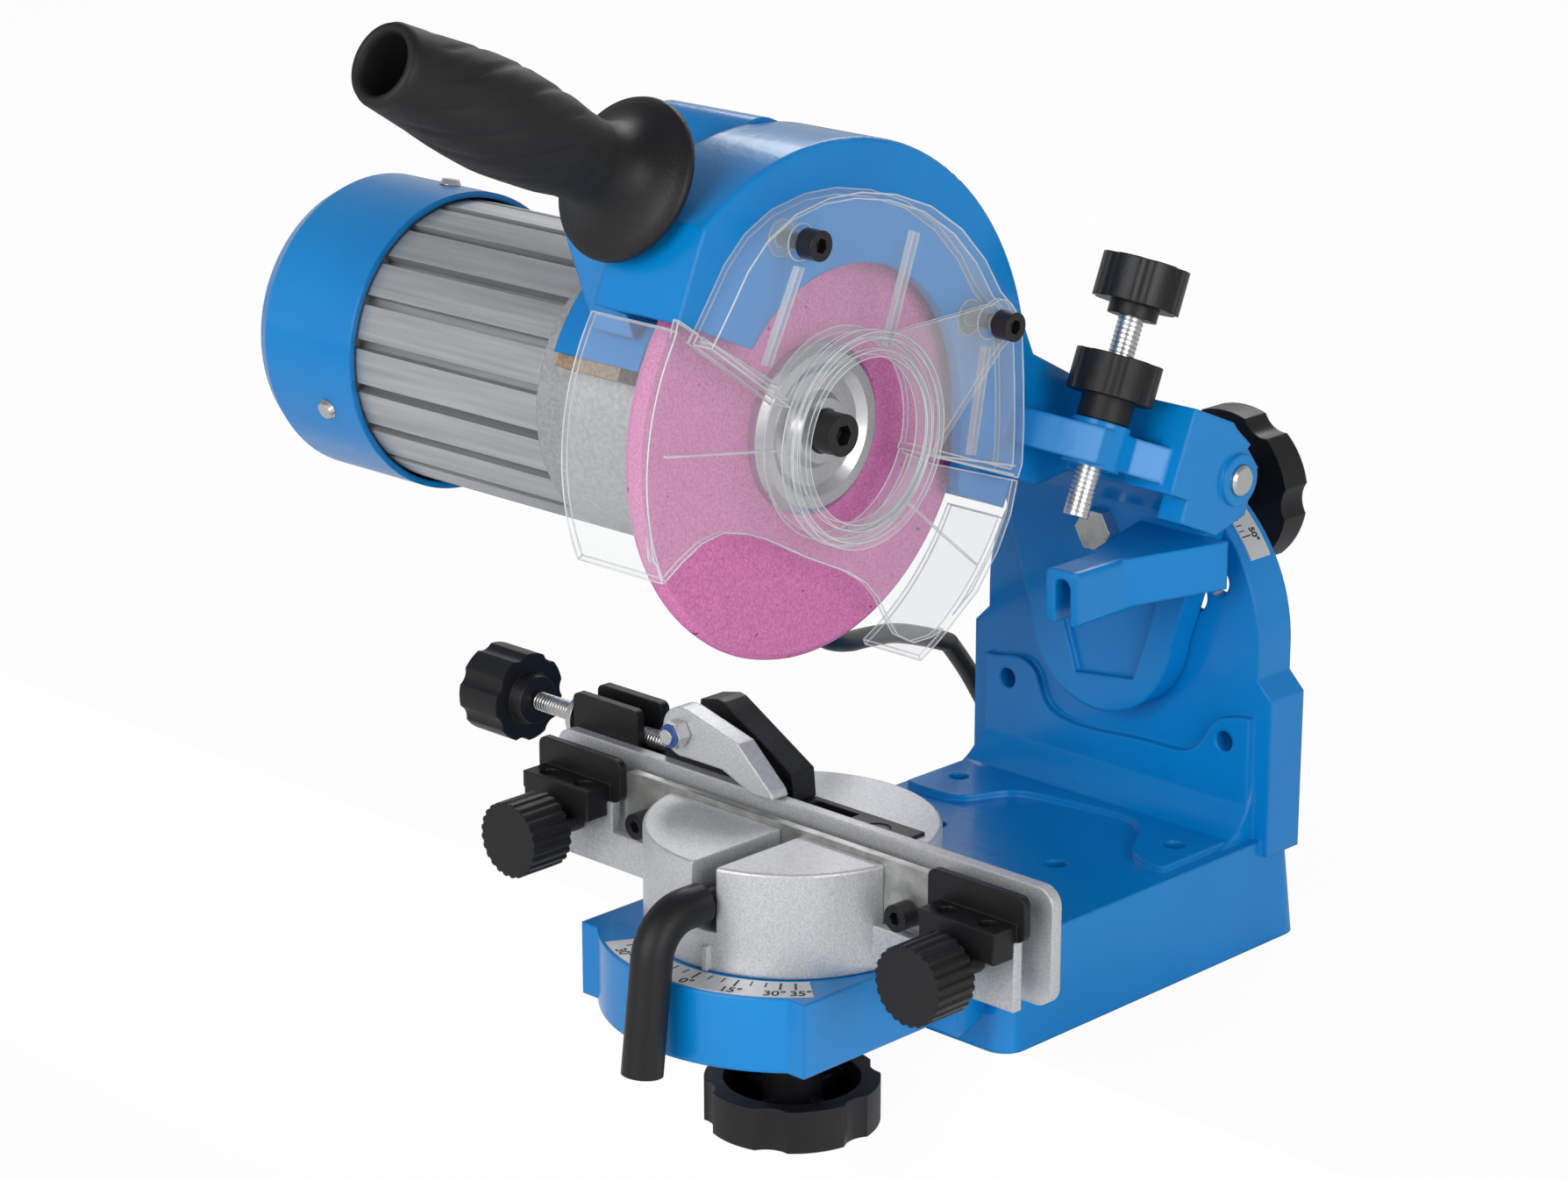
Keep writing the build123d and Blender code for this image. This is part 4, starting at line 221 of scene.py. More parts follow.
# radius and height of each turn: an inner stack upwards, then an outer one downwards
turn_rings = ((35.5, 3.6), (35.2, 10.6), (35.4, 17.4), (42.0, 17.3), (42.2, 10.4), (46.5, 3.5))
steps, last_steps = 14, 6
first_angle, last_angle = 185.0, 47.0
settle_steps, unevenness = 4.0, 0.25
before_r, before_z = 43.0, 3.7
for turn, (ring_r, ring_z) in enumerate(turn_rings):
    last = turn == len(turn_rings) - 1
    count, span = (last_steps, first_angle - last_angle) if last else (steps, 360.0)
    for step in range(count):
        ease = min(step / settle_steps, 1.0)
        r = before_r + (ring_r - before_r) * ease + unevenness * math.sin(2.3 * step + turn)
        z = before_z + (ring_z - before_z) * ease
        angle = math.radians(first_angle - span * step / count)
        lower_lead.append((coil_x + r * math.cos(angle), coil_y + r * math.sin(angle), max(z, lead_r)))
    before_r, before_z = ring_r, ring_z
lower_lead += [(-23, 140.5, 5), (-4, 122, 11), (1, 94.05, 14.8)]


def lead_tube(name, route):
    """Round tube on one smooth spline with the route as its control points, and its centre line."""
    curve = bpy.data.curves.new(name, "CURVE")
    curve.dimensions = "3D"
    curve.resolution_u = 6
    spline = curve.splines.new("NURBS")
    spline.points.add(len(route) - 1)
    for point, place in zip(spline.points, route):
        point.co = (*(v * MM for v in place), 1)
    spline.order_u = 3
    spline.use_endpoint_u = True
    guide = bpy.data.objects.new(name + "_guide", curve)
    bpy.context.collection.objects.link(guide)
    line = bpy.data.meshes.new_from_object(guide.evaluated_get(bpy.context.evaluated_depsgraph_get()))
    path = [tuple(v.co) for v in line.vertices]
    curve.bevel_depth = lead_r * MM
    curve.bevel_resolution = 5
    curve.use_fill_caps = True
    bpy.context.view_layer.update()
    tube = bpy.data.meshes.new_from_object(guide.evaluated_get(bpy.context.evaluated_depsgraph_get()))
    bpy.data.objects.remove(guide)
    tube.materials.clear()
    tube.materials.append(black_pvc)
    for face in tube.polygons:
        face.use_smooth = True
    piece = bpy.data.objects.new(name, tube)
    bpy.context.collection.objects.link(piece)
    return piece, path


lead_top, top_path = lead_tube("lead_top", upper_lead)
lead_rest, rest_path = lead_tube("lead_rest", lower_lead)
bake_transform(lead_top)
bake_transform(lead_rest)
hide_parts("cord_upper")
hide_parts("cord_lower", "cord_coil", "cord_tail")


def wear(node, material):
    """Gives a finish to a piece that keeps its own shape."""
    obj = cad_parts[node]
    for place in obj.material_slots:
        place.material = material


wear("cable_gland", black_pvc)
wear("plug", black_pvc)

# Castings: the base with its wall, the tilting bracket, the head and the motor's fan cover are all
# in one glossy azure enamel, thick enough to round the edges and to show a slight orange peel.
azure = finish("azure_enamel", (0.0, 0.215, 0.580), 0.25, 0.0, 0.35)
azure.node_tree.nodes["Principled BSDF"].inputs["Coat Weight"].default_value = 0.15
azure.node_tree.nodes["Principled BSDF"].inputs["Coat Roughness"].default_value = 0.06
round_edges(azure, 0.0016)
vary(azure, noise(azure, 14, 2), (0.0, 0.200, 0.555), (0.0, 0.230, 0.605))
add_bump(azure, noise(azure, 260, 2), 0.00012, 0.8)
for node in ("base_casting", "tilt_bracket", "head_casting", "fan_cover", "switch_box"):
    wear(node, azure)

# Vise: the disc with its wings, the back rail and the stop's pawl are castings in a metallic
# silver paint, whose grain shows as fine sand.
silver = finish("silver_sand_paint", (0.60, 0.61, 0.62), 0.42, 0.55)
round_edges(silver, 0.0010)
vary(silver, noise(silver, 1500, 2), (0.50, 0.51, 0.53), (0.68, 0.69, 0.70), 0.3, 0.7)
add_bump(silver, noise(silver, 1100, 2), 0.00010, 0.7)
for node in ("vise_body", "back_rail", "stop_pawl"):
    wear(node, silver)

# Clamp plate: the vise's moving jaw, sheared from steel plate and zinc plated, so that its coat
# is dull and mottled.
zinc = finish("mottled_zinc", (0.50, 0.51, 0.50), 0.36, 0.85)
round_edges(zinc, 0.0005)
vary(zinc, noise(zinc, 110, 5), (0.34, 0.35, 0.33), (0.62, 0.62, 0.60))
add_bump(zinc, noise(zinc, 500, 3), 0.00005)
wear("clamp_plate", zinc)

# Black mouldings: knobs, chain guides and the parts of the chain stop, in glass-filled nylon with
# a fine, satin spark texture. The clamp lever is a steel rod in a sleeve of the same.
nylon = finish("black_nylon", (0.007, 0.007, 0.008), 0.38, 0.0, 0.35)
round_edges(nylon, 0.0008)
vary(nylon, noise(nylon, 30, 3), 0.34, 0.48, socket="Roughness")
add_bump(nylon, noise(nylon, 1400, 2), 0.00007)
for node in ("swivel_lock_knob", "left_chain_guide", "right_chain_guide", "left_thumb_screw",
             "right_thumb_screw", "stop_track", "stop_carriage", "adjusting_knob", "tilt_lock_knob",
             "depth_knob", "depth_lock_knob", "switch_rocker", "cooling_fan", "clamp_lever"):
    wear(node, nylon)

# Socket screws: they hold the clamp plate, the guides, the guard and the flanges. Their steel is
# blackened in a hot bath and slightly oily.
black_oxide = finish("black_oxide", (0.016, 0.016, 0.017), 0.32, 0.3)
round_edges(black_oxide, 0.0004)
add_bump(black_oxide, noise(black_oxide, 700, 3), 0.00005)
for node in ("clamp_screws", "guide_screws", "flange_bolt", "guard_screws", "track_screw"):
    wear(node, black_oxide)

# Screws, rods and pins that turn or carry load: cold-drawn steel under bright zinc, which varies
# a little in gloss.
bright_zinc = finish("bright_zinc", (0.62, 0.62, 0.61), 0.24, 0.95)
round_edges(bright_zinc, 0.0003)
vary(bright_zinc, noise(bright_zinc, 200, 4), 0.18, 0.34, socket="Roughness")
for node in ("swivel_stud", "adjusting_screw", "pawl_bolt", "pawl_nut", "tilt_pivot_screw",
             "tilt_clamp_bolt", "pivot_pin", "return_spring", "depth_screw", "cover_screws"):
    wear(node, bright_zinc)

# Spindle: flanges, shaft and bearings in satin turned steel, a little uneven in gloss, and the
# motor's iron rotor and core.
turned_steel = finish("turned_steel", (0.60, 0.60, 0.60), 0.30, 1.0)
vary(turned_steel, noise(turned_steel, 160, 3), 0.24, 0.40, socket="Roughness")
for node in ("motor_shaft", "inner_flange", "outer_flange", "bearings"):
    wear(node, turned_steel)
core_iron = finish("core_iron", (0.12, 0.09, 0.07), 0.6, 0.4)
for node in ("stator_core", "rotor"):
    wear(node, core_iron)

# Motor: extruded aluminium tube with wide flat fins, satin grey with draw lines along it, and a
# raw cast end bell with a coarser skin.
fin_grey = finish("extruded_grey", (0.42, 0.44, 0.45), 0.40, 0.5)
round_edges(fin_grey, 0.0004)
vary(fin_grey, noise(fin_grey, 420, 3, (0.03, 1, 1)), (0.37, 0.385, 0.395), (0.49, 0.505, 0.515))
add_bump(fin_grey, noise(fin_grey, 800, 2, (0.04, 1, 1)), 0.00004)
wear("stator_tube", fin_grey)
raw_cast = finish("raw_cast", (0.40, 0.405, 0.41), 0.5, 0.5)
round_edges(raw_cast, 0.0008)
vary(raw_cast, noise(raw_cast, 700, 3), (0.35, 0.355, 0.36), (0.45, 0.455, 0.46))
add_bump(raw_cast, noise(raw_cast, 800, 3), 0.00014)
for node in ("front_bell", "rear_bell"):
    wear(node, raw_cast)
gasket_paper = finish("gasket_paper", (0.30, 0.22, 0.14), 0.8)
vary(gasket_paper, noise(gasket_paper, 900), (0.24, 0.17, 0.10), (0.36, 0.27, 0.18))
wear("bell_gasket", gasket_paper)

# Grinding wheel: pink fused alumina in a vitrified bond, an open, sugary grain with a few dark
# specks, and faint rings that the mould and the dresser leave.
wheel_pink = finish("pink_abrasive", (0.60, 0.185, 0.40), 0.92, 0.0, 0.25)
nodes, links = wheel_pink.node_tree.nodes, wheel_pink.node_tree.links
grain = noise(wheel_pink, 1500, 3)
grain_ramp = nodes.new("ShaderNodeValToRGB")
grain_ramp.color_ramp.elements[0].position = 0.34
grain_ramp.color_ramp.elements[0].color = (0.50, 0.145, 0.33, 1)
grain_ramp.color_ramp.elements[1].position = 0.66
grain_ramp.color_ramp.elements[1].color = (0.70, 0.235, 0.48, 1)
links.new(grain.outputs[0], grain_ramp.inputs[0])
speck = noise(wheel_pink, 330, 1)
speck_ramp = nodes.new("ShaderNodeValToRGB")
speck_ramp.color_ramp.elements[0].position = 0.22
speck_ramp.color_ramp.elements[0].color = (0.35, 0.30, 0.32, 1)
speck_ramp.color_ramp.elements[1].position = 0.27
speck_ramp.color_ramp.elements[1].color = (1, 1, 1, 1)
links.new(speck.outputs[0], speck_ramp.inputs[0])
darken = nodes.new("ShaderNodeMix")
darken.data_type = "RGBA"
darken.blend_type = "MULTIPLY"
darken.inputs["Factor"].default_value = 1.0
links.new(grain_ramp.outputs[0], darken.inputs[6])
links.new(speck_ramp.outputs[0], darken.inputs[7])
links.new(darken.outputs[2], nodes["Principled BSDF"].inputs["Base Color"])
add_bump(wheel_pink, grain, 0.00025, 0.7)
rings = nodes.new("ShaderNodeTexWave")
rings.wave_type = "RINGS"
rings.rings_direction = "X"
rings.inputs["Scale"].default_value = 55
rings.inputs["Distortion"].default_value = 1.5
ring_place = nodes.new("ShaderNodeTexCoord")
ring_map = nodes.new("ShaderNodeMapping")
ring_map.inputs["Location"].default_value = (0, -spindle_y * MM, -spindle_z * MM)
links.new(ring_place.outputs["Object"], ring_map.inputs["Vector"])
links.new(ring_map.outputs[0], rings.inputs["Vector"])
add_bump(wheel_pink, rings, 0.00006, 0.4)
wear("grinding_wheel", wheel_pink)

# Guard and hub cover: injection-moulded clear polycarbonate, 2 mm thick. Its faces show little but
# gloss; the light that its cut edges, ribs and rims catch is a painted highlight, pale and half clear.
clear = finish("clear_polycarbonate", (0.80, 0.84, 0.85), 0.06, 0.0, 0.6)
nodes, links = clear.node_tree.nodes, clear.node_tree.links
rim_light = nodes.new("ShaderNodeLayerWeight")
rim_light.inputs["Blend"].default_value = 0.35
rim_ramp = nodes.new("ShaderNodeValToRGB")
rim_ramp.color_ramp.elements[0].color = (0.03, 0.03, 0.03, 1)
rim_ramp.color_ramp.elements[1].color = (0.32, 0.32, 0.32, 1)
links.new(rim_light.outputs["Facing"], rim_ramp.inputs[0])
links.new(rim_ramp.outputs[0], nodes["Principled BSDF"].inputs["Alpha"])
add_bump(clear, noise(clear, 60, 2), 0.0002, 0.5)
for node in ("wheel_guard", "hub_cover"):
    wear(node, clear)
# Painted highlight: a pale, half-clear colour, a little uneven, for the light on the guard's edges and
# ribs.
painted_edge_highlight = finish("guard_edge_painted_highlight", (0.82, 0.85, 0.86), 0.18, 0.0, 0.6)
painted_edge_highlight.node_tree.nodes["Principled BSDF"].inputs["Alpha"].default_value = 0.5
vary(painted_edge_highlight, noise(painted_edge_highlight, 40, 2), (0.62, 0.66, 0.68), (0.95, 0.97, 0.98), 0.3, 0.7)


def node_tree(name, inputs):
    """Geometry node tree with its named inputs and one geometry output."""
    tree = bpy.data.node_groups.new(name, "GeometryNodeTree")
    tree.interface.new_socket("Geometry", in_out="INPUT", socket_type="NodeSocketGeometry")
    for label, kind in inputs:
        tree.interface.new_socket(label, in_out="INPUT", socket_type=kind)
    tree.interface.new_socket("Geometry", in_out="OUTPUT", socket_type="NodeSocketGeometry")
    return tree, tree.nodes.new("NodeGroupInput"), tree.nodes.new("NodeGroupOutput")


def grow(name, tree, values, mesh=None):
    """Plain mesh that a tree makes from its inputs."""
    source = bpy.data.objects.new(name + "_source", mesh or bpy.data.meshes.new(name))
    bpy.context.collection.objects.link(source)
    modifier = source.modifiers.new("grow", "NODES")
    modifier.node_group = tree
    for item in tree.interface.items_tree:
        if item.item_type == "SOCKET" and item.in_out == "INPUT" and item.name in values:
            modifier[item.identifier] = values[item.name]
    bpy.context.view_layer.update()
    made = bpy.data.meshes.new_from_object(source.evaluated_get(bpy.context.evaluated_depsgraph_get()))
    bpy.data.objects.remove(source)
    return made


def place_piece(name, mesh, body, matrix=None):
    if matrix:
        mesh.transform(matrix)
    piece = bpy.data.objects.new(name, mesh)
    bpy.context.collection.objects.link(piece)
    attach(piece, body)
    return piece


edge_tree, given, result = node_tree("bright_edges", (
    ("Angle", "NodeSocketFloat"), ("Radius", "NodeSocketFloat"), ("Material", "NodeSocketMaterial")))
nodes, links = edge_tree.nodes, edge_tree.links
edge_angle = nodes.new("GeometryNodeInputMeshEdgeAngle")
is_sharp = nodes.new("FunctionNodeCompare")
is_sharp.operation = "GREATER_THAN"
as_curve = nodes.new("GeometryNodeMeshToCurve")
bead = nodes.new("GeometryNodeCurvePrimitiveCircle")
bead.inputs["Resolution"].default_value = 5
along = nodes.new("GeometryNodeCurveToMesh")
painted = nodes.new("GeometryNodeSetMaterial")
links.new(edge_angle.outputs["Unsigned Angle"], is_sharp.inputs["A"])
links.new(given.outputs["Angle"], is_sharp.inputs["B"])
links.new(given.outputs["Geometry"], as_curve.inputs["Mesh"])
links.new(is_sharp.outputs[0], as_curve.inputs["Selection"])
links.new(given.outputs["Radius"], bead.inputs["Radius"])
links.new(as_curve.outputs[0], along.inputs["Curve"])
links.new(bead.outputs[0], along.inputs["Profile Curve"])
links.new(along.outputs[0], painted.inputs["Geometry"])
links.new(given.outputs["Material"], painted.inputs["Material"])
links.new(painted.outputs[0], result.inputs[0])


def merged_copy(node):
    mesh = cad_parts[node].data.copy()
    work = bmesh.new()
    work.from_mesh(mesh)
    bmesh.ops.remove_doubles(work, verts=work.verts, dist=1e-6)
    work.to_mesh(mesh)
    work.free()
    return mesh


# Painted highlight: thin pale beads along the sharp edges of the guard and the hub cover stand in for the
# light that these edges catch.
sharp = 0.9
for node, body, bead_r in (("wheel_guard", "head", 0.26), ("hub_cover", "hub_cover", 0.18)):
    edges = grow(node + "_edges", edge_tree, {"Angle": sharp, "Radius": bead_r * MM, "Material": painted_edge_highlight},
                 merged_copy(node))
    place_piece(node + "_edges", edges, body)

# Ribs: thin bars moulded in one with the guard on the inside of its raised and its low face,
# most of them from the rim to the hub opening, some in pairs.
lean = math.radians(23)


def head_point(x, back, up):
    """Place given across the head, back along its arm and up from it."""
    return Vector((x, spindle_y + back * math.cos(lean) + up * math.sin(lean),
                   spindle_z - back * math.sin(lean) + up * math.cos(lean))) * MM


rib_w = 0.6
under_raised, under_low = (19, 21), (12, 13.4)
ribs = (
    ((33.6, 1.9), (78.5, 4.6), under_raised),
    ((33.6, 1.9), (77.8, 7.3), under_raised),
    ((41.4, -13.2), (82.7, -25.5), under_low),
    ((-66.9, -21.4), (-22.6, -10.2), under_low),
    ((1.4, 64.4), (3.3, 29.3), under_raised),
    ((3.9, 64.5), (5.7, 29.5), under_raised),
    ((-43.2, 42.5), (-45.3, 12.1), under_raised),
    ((-41.0, 42.7), (-43.1, 12.3), under_raised),
    ((48.1, 39.2), (55.3, 6.1), under_raised),
    ((50.3, 39.7), (57.4, 6.5), under_raised),
)
rib_mesh = bpy.data.meshes.new("guard_ribs")
work = bmesh.new()
for start, end, heights in ribs:
    direction = Vector((end[0] - start[0], end[1] - start[1])).normalized()
    side = Vector((-direction.y, direction.x)) * rib_w / 2
    corners = []
    for x in heights:
        for (back, up), turn in ((start, 1), (end, 1), (end, -1), (start, -1)):
            corners.append(work.verts.new(head_point(x, back + turn * side.x, up + turn * side.y)))
    for face in ((0, 3, 2, 1), (4, 5, 6, 7), (0, 1, 5, 4), (1, 2, 6, 5), (2, 3, 7, 6), (3, 0, 4, 7)):
        work.faces.new([corners[i] for i in face])
bmesh.ops.recalc_face_normals(work, faces=work.faces)
work.to_mesh(rib_mesh)
work.free()
# The ribs are real, but their pale colour is the painted highlight of the light they catch.
rib_mesh.materials.append(painted_edge_highlight)
place_piece("guard_ribs", rib_mesh, "head")

# Threads: coarse threads rolled on the adjusting screw and on the depth screw, zinc plated. Each
# is a crest wound on the plain rod that carries it.
thread_tree, given, result = node_tree("thread", (
    ("Turns", "NodeSocketFloat"), ("Radius", "NodeSocketFloat"), ("Length", "NodeSocketFloat"),
    ("Crest", "NodeSocketFloat"), ("Material", "NodeSocketMaterial")))
nodes, links = thread_tree.nodes, thread_tree.links
helix = nodes.new("GeometryNodeCurveSpiral")
helix.inputs["Resolution"].default_value = 20
crest = nodes.new("GeometryNodeCurvePrimitiveCircle")
crest.inputs["Resolution"].default_value = 6
wound = nodes.new("GeometryNodeCurveToMesh")
wound.inputs["Fill Caps"].default_value = True
plated = nodes.new("GeometryNodeSetMaterial")
links.new(given.outputs["Turns"], helix.inputs["Rotations"])
links.new(given.outputs["Radius"], helix.inputs["Start Radius"])
links.new(given.outputs["Radius"], helix.inputs["End Radius"])
links.new(given.outputs["Length"], helix.inputs["Height"])
links.new(given.outputs["Crest"], crest.inputs["Radius"])
links.new(helix.outputs[0], wound.inputs["Curve"])
links.new(crest.outputs[0], wound.inputs["Profile Curve"])
links.new(wound.outputs[0], plated.inputs["Geometry"])
links.new(given.outputs["Material"], plated.inputs["Material"])
links.new(plated.outputs[0], result.inputs[0])


crest_r, crest_sink = 0.36, 0.12


def thread(name, body, start, direction, length, radius, pitch):
    """Thread of a length, radius and pitch in millimetres, from a place in metres."""
    made = grow(name, thread_tree, {"Turns": length / pitch, "Radius": (radius - crest_sink) * MM,
                                    "Length": length * MM, "Crest": crest_r * MM, "Material": bright_zinc})
    for face in made.polygons:
        face.use_smooth = True
    turn = Vector(direction).to_track_quat("Z", "Y").to_matrix().to_4x4()
    place_piece(name, made, body, Matrix.Translation(start) @ turn)


rod_y, rod_z = -120.0, 75.3
left_start, right_start = Vector((-127, rod_y, rod_z)) * MM, Vector((-97, rod_y, rod_z)) * MM
thread("adjusting_thread_left", "adjusting_screw", left_start, (1, 0, 0), 20, 3.0, 1.25)
thread("adjusting_thread_right", "adjusting_screw", right_start, (1, 0, 0), 36, 3.0, 1.25)
depth_axis = (0, math.sin(lean), math.cos(lean))
thread("depth_thread", "depth_screw", head_point(35, 96, -2), depth_axis, 16, 4.0, 1.5)
thread("depth_thread_top", "depth_screw", head_point(35, 96, 49.3), depth_axis, 12.5, 4.0, 1.5)

# Angle scales: silver foil strips with black printed marks and figures, one on the deck in front
# of the vise, one over the round top of the wall.
foil = finish("silver_foil", (0.66, 0.67, 0.68), 0.34, 0.55)
add_bump(foil, noise(foil, 600, 2, (1, 0.2, 1)), 0.00003)
for node in ("swivel_scale", "tilt_scale"):
    wear(node, foil)
ink = finish("black_ink", (0.012, 0.012, 0.014), 0.5)

tick_tree, given, result = node_tree("ticks", (
    ("Count", "NodeSocketInt"), ("Radius", "NodeSocketFloat"), ("From", "NodeSocketFloat"),
    ("Sweep", "NodeSocketFloat"), ("Size", "NodeSocketVector"), ("Material", "NodeSocketMaterial")))
nodes, links = tick_tree.nodes, tick_tree.links
marks = nodes.new("GeometryNodeMeshLine")
count_less = nodes.new("ShaderNodeMath")
count_less.operation = "SUBTRACT"
count_less.inputs[1].default_value = 1.0
index = nodes.new("GeometryNodeInputIndex")
share = nodes.new("ShaderNodeMath")
share.operation = "DIVIDE"
angle_at = nodes.new("ShaderNodeMath")
angle_at.operation = "MULTIPLY_ADD"
spun = nodes.new("ShaderNodeCombineXYZ")
bar = nodes.new("GeometryNodeMeshCube")
shifted = nodes.new("GeometryNodeTransform")
out_along = nodes.new("ShaderNodeCombineXYZ")
copies = nodes.new("GeometryNodeInstanceOnPoints")
real = nodes.new("GeometryNodeRealizeInstances")
inked = nodes.new("GeometryNodeSetMaterial")
links.new(given.outputs["Count"], marks.inputs["Count"])
marks.inputs["Offset"].default_value = (0, 0, 0)
links.new(given.outputs["Count"], count_less.inputs[0])
links.new(index.outputs[0], share.inputs[0])
links.new(count_less.outputs[0], share.inputs[1])
links.new(share.outputs[0], angle_at.inputs[0])
links.new(given.outputs["Sweep"], angle_at.inputs[1])
links.new(given.outputs["From"], angle_at.inputs[2])
links.new(angle_at.outputs[0], spun.inputs["Z"])
links.new(given.outputs["Size"], bar.inputs["Size"])
links.new(given.outputs["Radius"], out_along.inputs["X"])
links.new(bar.outputs["Mesh"], shifted.inputs["Geometry"])
links.new(out_along.outputs[0], shifted.inputs["Translation"])
links.new(marks.outputs[0], copies.inputs["Points"])
links.new(shifted.outputs[0], copies.inputs["Instance"])
links.new(spun.outputs[0], copies.inputs["Rotation"])
links.new(copies.outputs[0], real.inputs[0])
links.new(real.outputs[0], inked.inputs["Geometry"])
links.new(given.outputs["Material"], inked.inputs["Material"])
links.new(inked.outputs[0], result.inputs[0])


def ticks(name, count, radius, start, sweep, size, matrix):
    """Printed marks along an arc; start and sweep in degrees, radius and size in millimetres."""
    made = grow(name, tick_tree, {"Count": count, "Radius": radius * MM, "From": math.radians(start),
                                  "Sweep": math.radians(sweep), "Size": tuple(v * MM for v in size),
                                  "Material": ink})
    place_piece(name, made, "base", matrix)


def figure(name, text, size, matrix):
    """Printed figure, flat on its strip."""
    data = bpy.data.curves.new(name, "FONT")
    data.body = text
    data.size = size * MM
    data.align_x, data.align_y = "CENTER", "CENTER"
    data.extrude = 0.02 * MM
    data.offset = 0.12 * MM
    writing = bpy.data.objects.new(name + "_text", data)
    bpy.context.collection.objects.link(writing)
    bpy.context.view_layer.update()
    mesh = bpy.data.meshes.new_from_object(writing.evaluated_get(bpy.context.evaluated_depsgraph_get()))
    bpy.data.objects.remove(writing)
    mesh.materials.clear()
    mesh.materials.append(ink)
    place_piece(name, mesh, "base", matrix)


vise_y, deck_scale_z, zero_angle = -131.0, 35.37, -80.0
deck_centre = Matrix.Translation(Vector((0, vise_y, deck_scale_z)) * MM)
ticks("deck_ticks", 15, 51.4, zero_angle - 35, 70, (3.2, 0.5, 0.05), deck_centre)
ticks("deck_long_ticks", 5, 52.2, zero_angle - 30, 60, (5.0, 0.7, 0.06), deck_centre)
ticks("deck_end_ticks", 2, 52.2, zero_angle - 35, 70, (5.0, 0.7, 0.06), deck_centre)
figure_r = 57.6
nudge = {30: -1.5, 35: 1.5}
for number in (-30, -15, 0, 15, 30, 35):
    angle = math.radians(zero_angle + number + nudge.get(number, 0))
    place = Vector((figure_r * math.cos(angle), vise_y + figure_r * math.sin(angle), deck_scale_z)) * MM
    figure(f"deck_figure_{number % 100}_{'left' if number < 0 else 'right'}", f"{abs(number)}°", 5.0,
           Matrix.Translation(place) @ Matrix.Rotation(angle + math.pi / 2, 4, "Z"))

tilt_z, strip_middle_y, strip_r = 99.0, 36.0, 58.68
tilt_zero, tilt_end = 88.0, 50
tick_forward, long_tick_forward, figure_back = 3.2, 2.4, 1.6
round_top = Matrix.Translation(Vector((0, strip_middle_y, tilt_z)) * MM)
round_top = round_top @ Matrix.Rotation(math.pi / 2, 4, "X")
ticks("tilt_ticks", 26, strip_r, tilt_zero, -tilt_end, (0.06, 0.35, 2.6),
      round_top @ Matrix.Translation(Vector((0, 0, tick_forward)) * MM))
ticks("tilt_long_ticks", 6, strip_r, tilt_zero, -tilt_end, (0.08, 0.45, 4.2),
      round_top @ Matrix.Translation(Vector((0, 0, long_tick_forward)) * MM))
for number in range(0, tilt_end + 10, 10):
    angle = math.radians(tilt_zero - number)
    out = Vector((math.cos(angle), 0, math.sin(angle)))
    place = Vector((0, strip_middle_y + figure_back, tilt_z)) * MM + out * strip_r * MM
    across = Vector((out.z, 0, -out.x))
    figure_axes = Matrix((across, Vector((0, 1, 0)), out)).transposed().to_4x4()
    figure(f"tilt_figure_{number}", f"{number}°", 3.6, Matrix.Translation(place) @ figure_axes)

# Nyloc nut: the nut on the pawl's bolt has a ring of blue nylon pressed into its mouth, which
# locks the thread.
ring_blue = finish("locking_ring", (0.02, 0.07, 0.26), 0.45)
pawl_x, pawl_z, nut_front_y = -45.0, 88.0, -140.05
ring_mesh = bpy.data.meshes.new("nut_ring")
work = bmesh.new()
around = 32
outline = ((2.55, 0.0), (3.9, 0.0), (3.9, -0.3), (3.5, -0.6), (2.55, -0.6))
loops = []
for radius, out in outline:
    loop = []
    for i in range(around):
        angle = 2 * math.pi * i / around
        loop.append(work.verts.new(Vector((pawl_x + radius * math.cos(angle), nut_front_y + out,
                                           pawl_z + radius * math.sin(angle))) * MM))
    loops.append(loop)
for a, b in zip(loops, loops[1:] + loops[:1]):
    for i in range(around):
        work.faces.new((a[i], a[(i + 1) % around], b[(i + 1) % around], b[i]))
bmesh.ops.recalc_face_normals(work, faces=work.faces)
work.to_mesh(ring_mesh)
work.free()
ring_mesh.materials.append(ring_blue)
place_piece("nut_ring", ring_mesh, "stop_carriage")

# Handle: soft black rubber moulded over a tube, with a thumb flange at its root, shallow slanted
# grooves round the grip and an open end.
rubber = finish("grip_rubber", (0.008, 0.008, 0.009), 0.5, 0.0, 0.35)
vary(rubber, noise(rubber, 25, 3), 0.42, 0.60, socket="Roughness")
add_bump(rubber, noise(rubber, 1000, 3), 0.0001)
handle_l, bore_r, bore_floor = 103.0, 9.0, 30.0
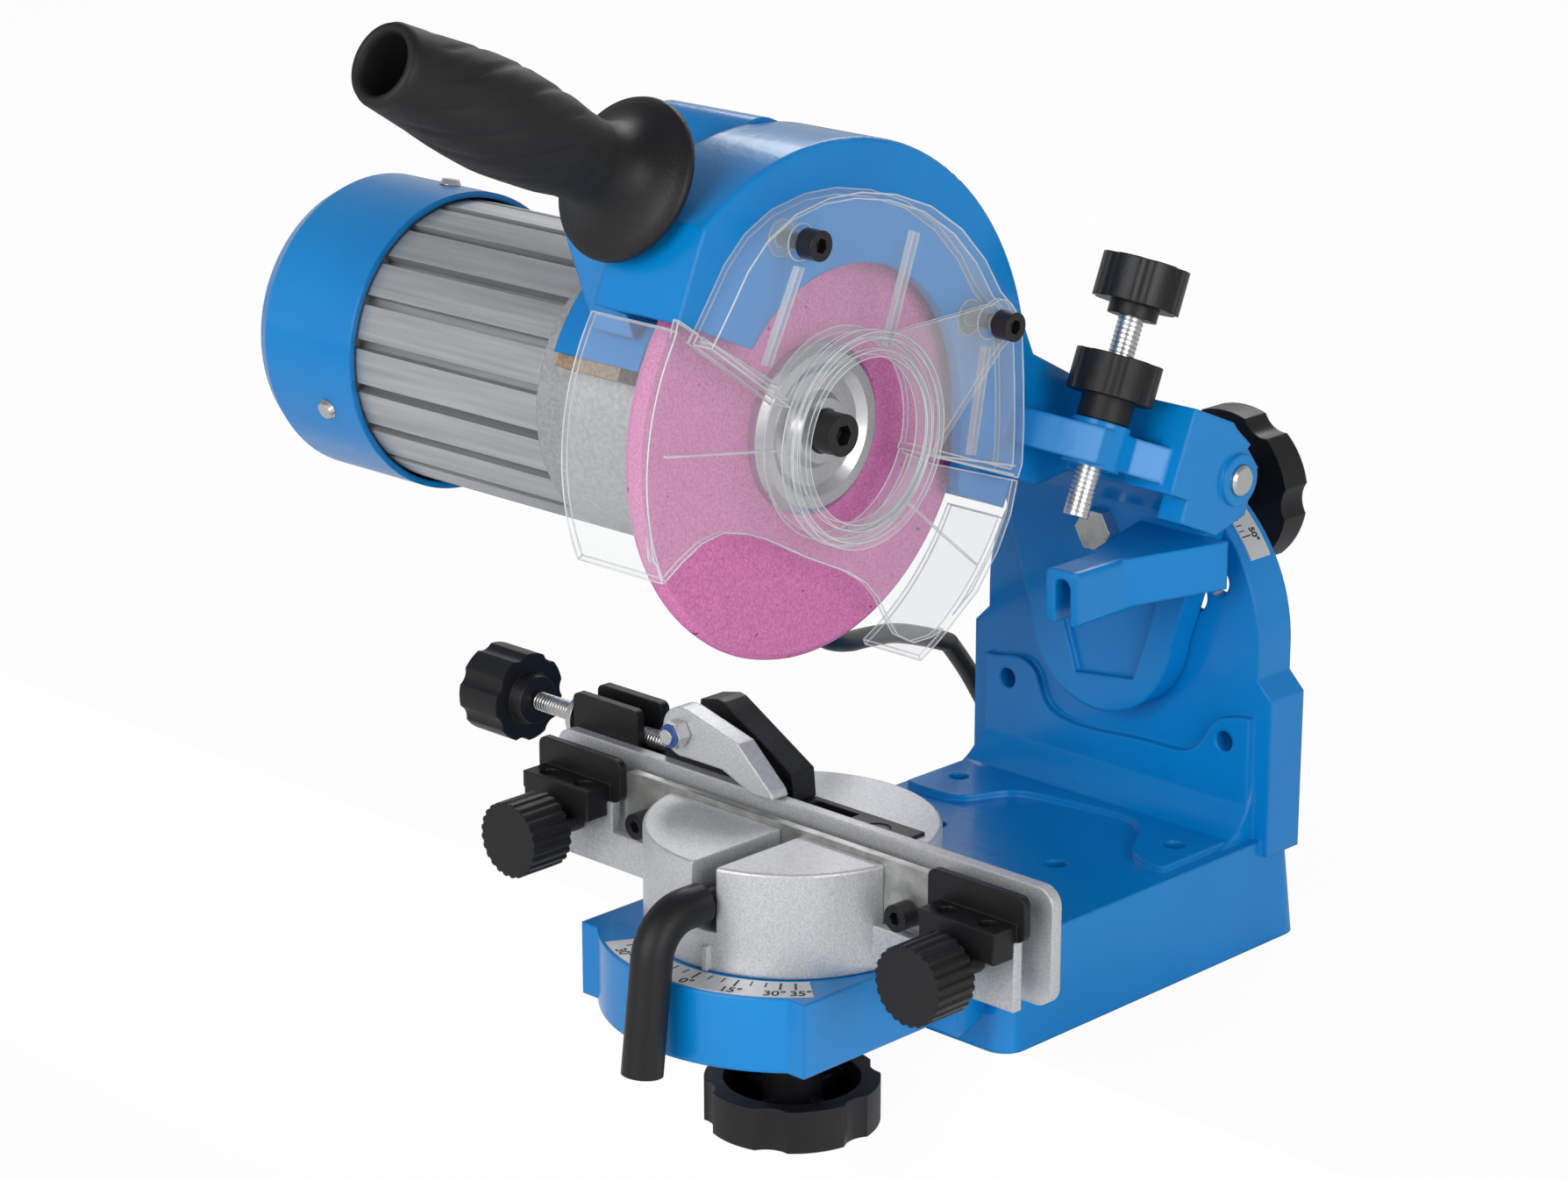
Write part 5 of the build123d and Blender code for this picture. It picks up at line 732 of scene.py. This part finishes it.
# radius and distance from the root, round the flange, along the grip and back into the bore
grip_profile = ((0, 0), (25, 0), (25.1, 1.2), (24.6, 2.6), (21.5, 4.0), (18.3, 6.2), (15.4, 9),
                (13.4, 13), (12.6, 18), (13.2, 26), (14.6, 34), (15.6, 44), (16.3, 54), (16.4, 58),
                (16.1, 66), (15.3, 75), (14.3, 83), (13.4, 91), (12.7, 98), (12.4, 101), (11.6, 102.6),
                (10.4, handle_l), (9.3, 102.4), (bore_r, 100), (bore_r, bore_floor), (0, bore_floor))
ring_step, groove_count, groove_twist, groove_depth = 1.3, 9, 0.34, 0.55
groove_from, groove_to, groove_fade = 32, 93, 6
flange_end = 15
wave_floor, wave_height = 0.55, 0.45
rings_of = []
for (r0, z0), (r1, z1) in zip(grip_profile, grip_profile[1:]):
    on_grip = z0 > flange_end and r0 > bore_r + 1
    parts = max(1, int(math.hypot(r1 - r0, z1 - z0) / ring_step)) if on_grip else 1
    for k in range(parts):
        rings_of.append((r0 + (r1 - r0) * k / parts, z0 + (z1 - z0) * k / parts))
rings_of.append(grip_profile[-1])
work = bmesh.new()
around = 120
loops = []
for r, z in rings_of:
    if r == 0:
        loops.append([work.verts.new((0, 0, z * MM))])
        continue
    row = []
    fade_in = max(0.0, min(1.0, (z - groove_from) / groove_fade))
    fade_out = max(0.0, min(1.0, (groove_to - z) / groove_fade))
    grooved = fade_in * fade_out if r > bore_r + 1 else 0.0
    for i in range(around):
        turn = 2 * math.pi * i / around
        wave = math.cos(groove_count * turn + z * groove_twist)
        cut_r = r - groove_depth * grooved * max(0.0, (wave - wave_floor) / wave_height)
        row.append(work.verts.new(Vector((cut_r * math.cos(turn), cut_r * math.sin(turn), z)) * MM))
    loops.append(row)
for a, b in zip(loops, loops[1:]):
    for i in range(around):
        j = (i + 1) % around
        if len(a) == 1:
            work.faces.new((a[0], b[j], b[i]))
        elif len(b) == 1:
            work.faces.new((a[i], a[j], b[0]))
        else:
            work.faces.new((a[i], a[j], b[j], b[i]))
bmesh.ops.recalc_face_normals(work, faces=work.faces)
grip_mesh = bpy.data.meshes.new("grip")
work.to_mesh(grip_mesh)
work.free()
for face in grip_mesh.polygons:
    face.use_smooth = True
grip_mesh.materials.append(rubber)
grip_slope = math.radians(26.6)
grip_axis = Vector((0, -math.cos(grip_slope), math.sin(grip_slope)))
grip_turn = grip_axis.to_track_quat("Z", "Y").to_matrix().to_4x4()
grip_root = head_point(-18, -81.2, 53)
grip = place_piece("grip", grip_mesh, "head", Matrix.Translation(grip_root) @ grip_turn)
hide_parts("handle")
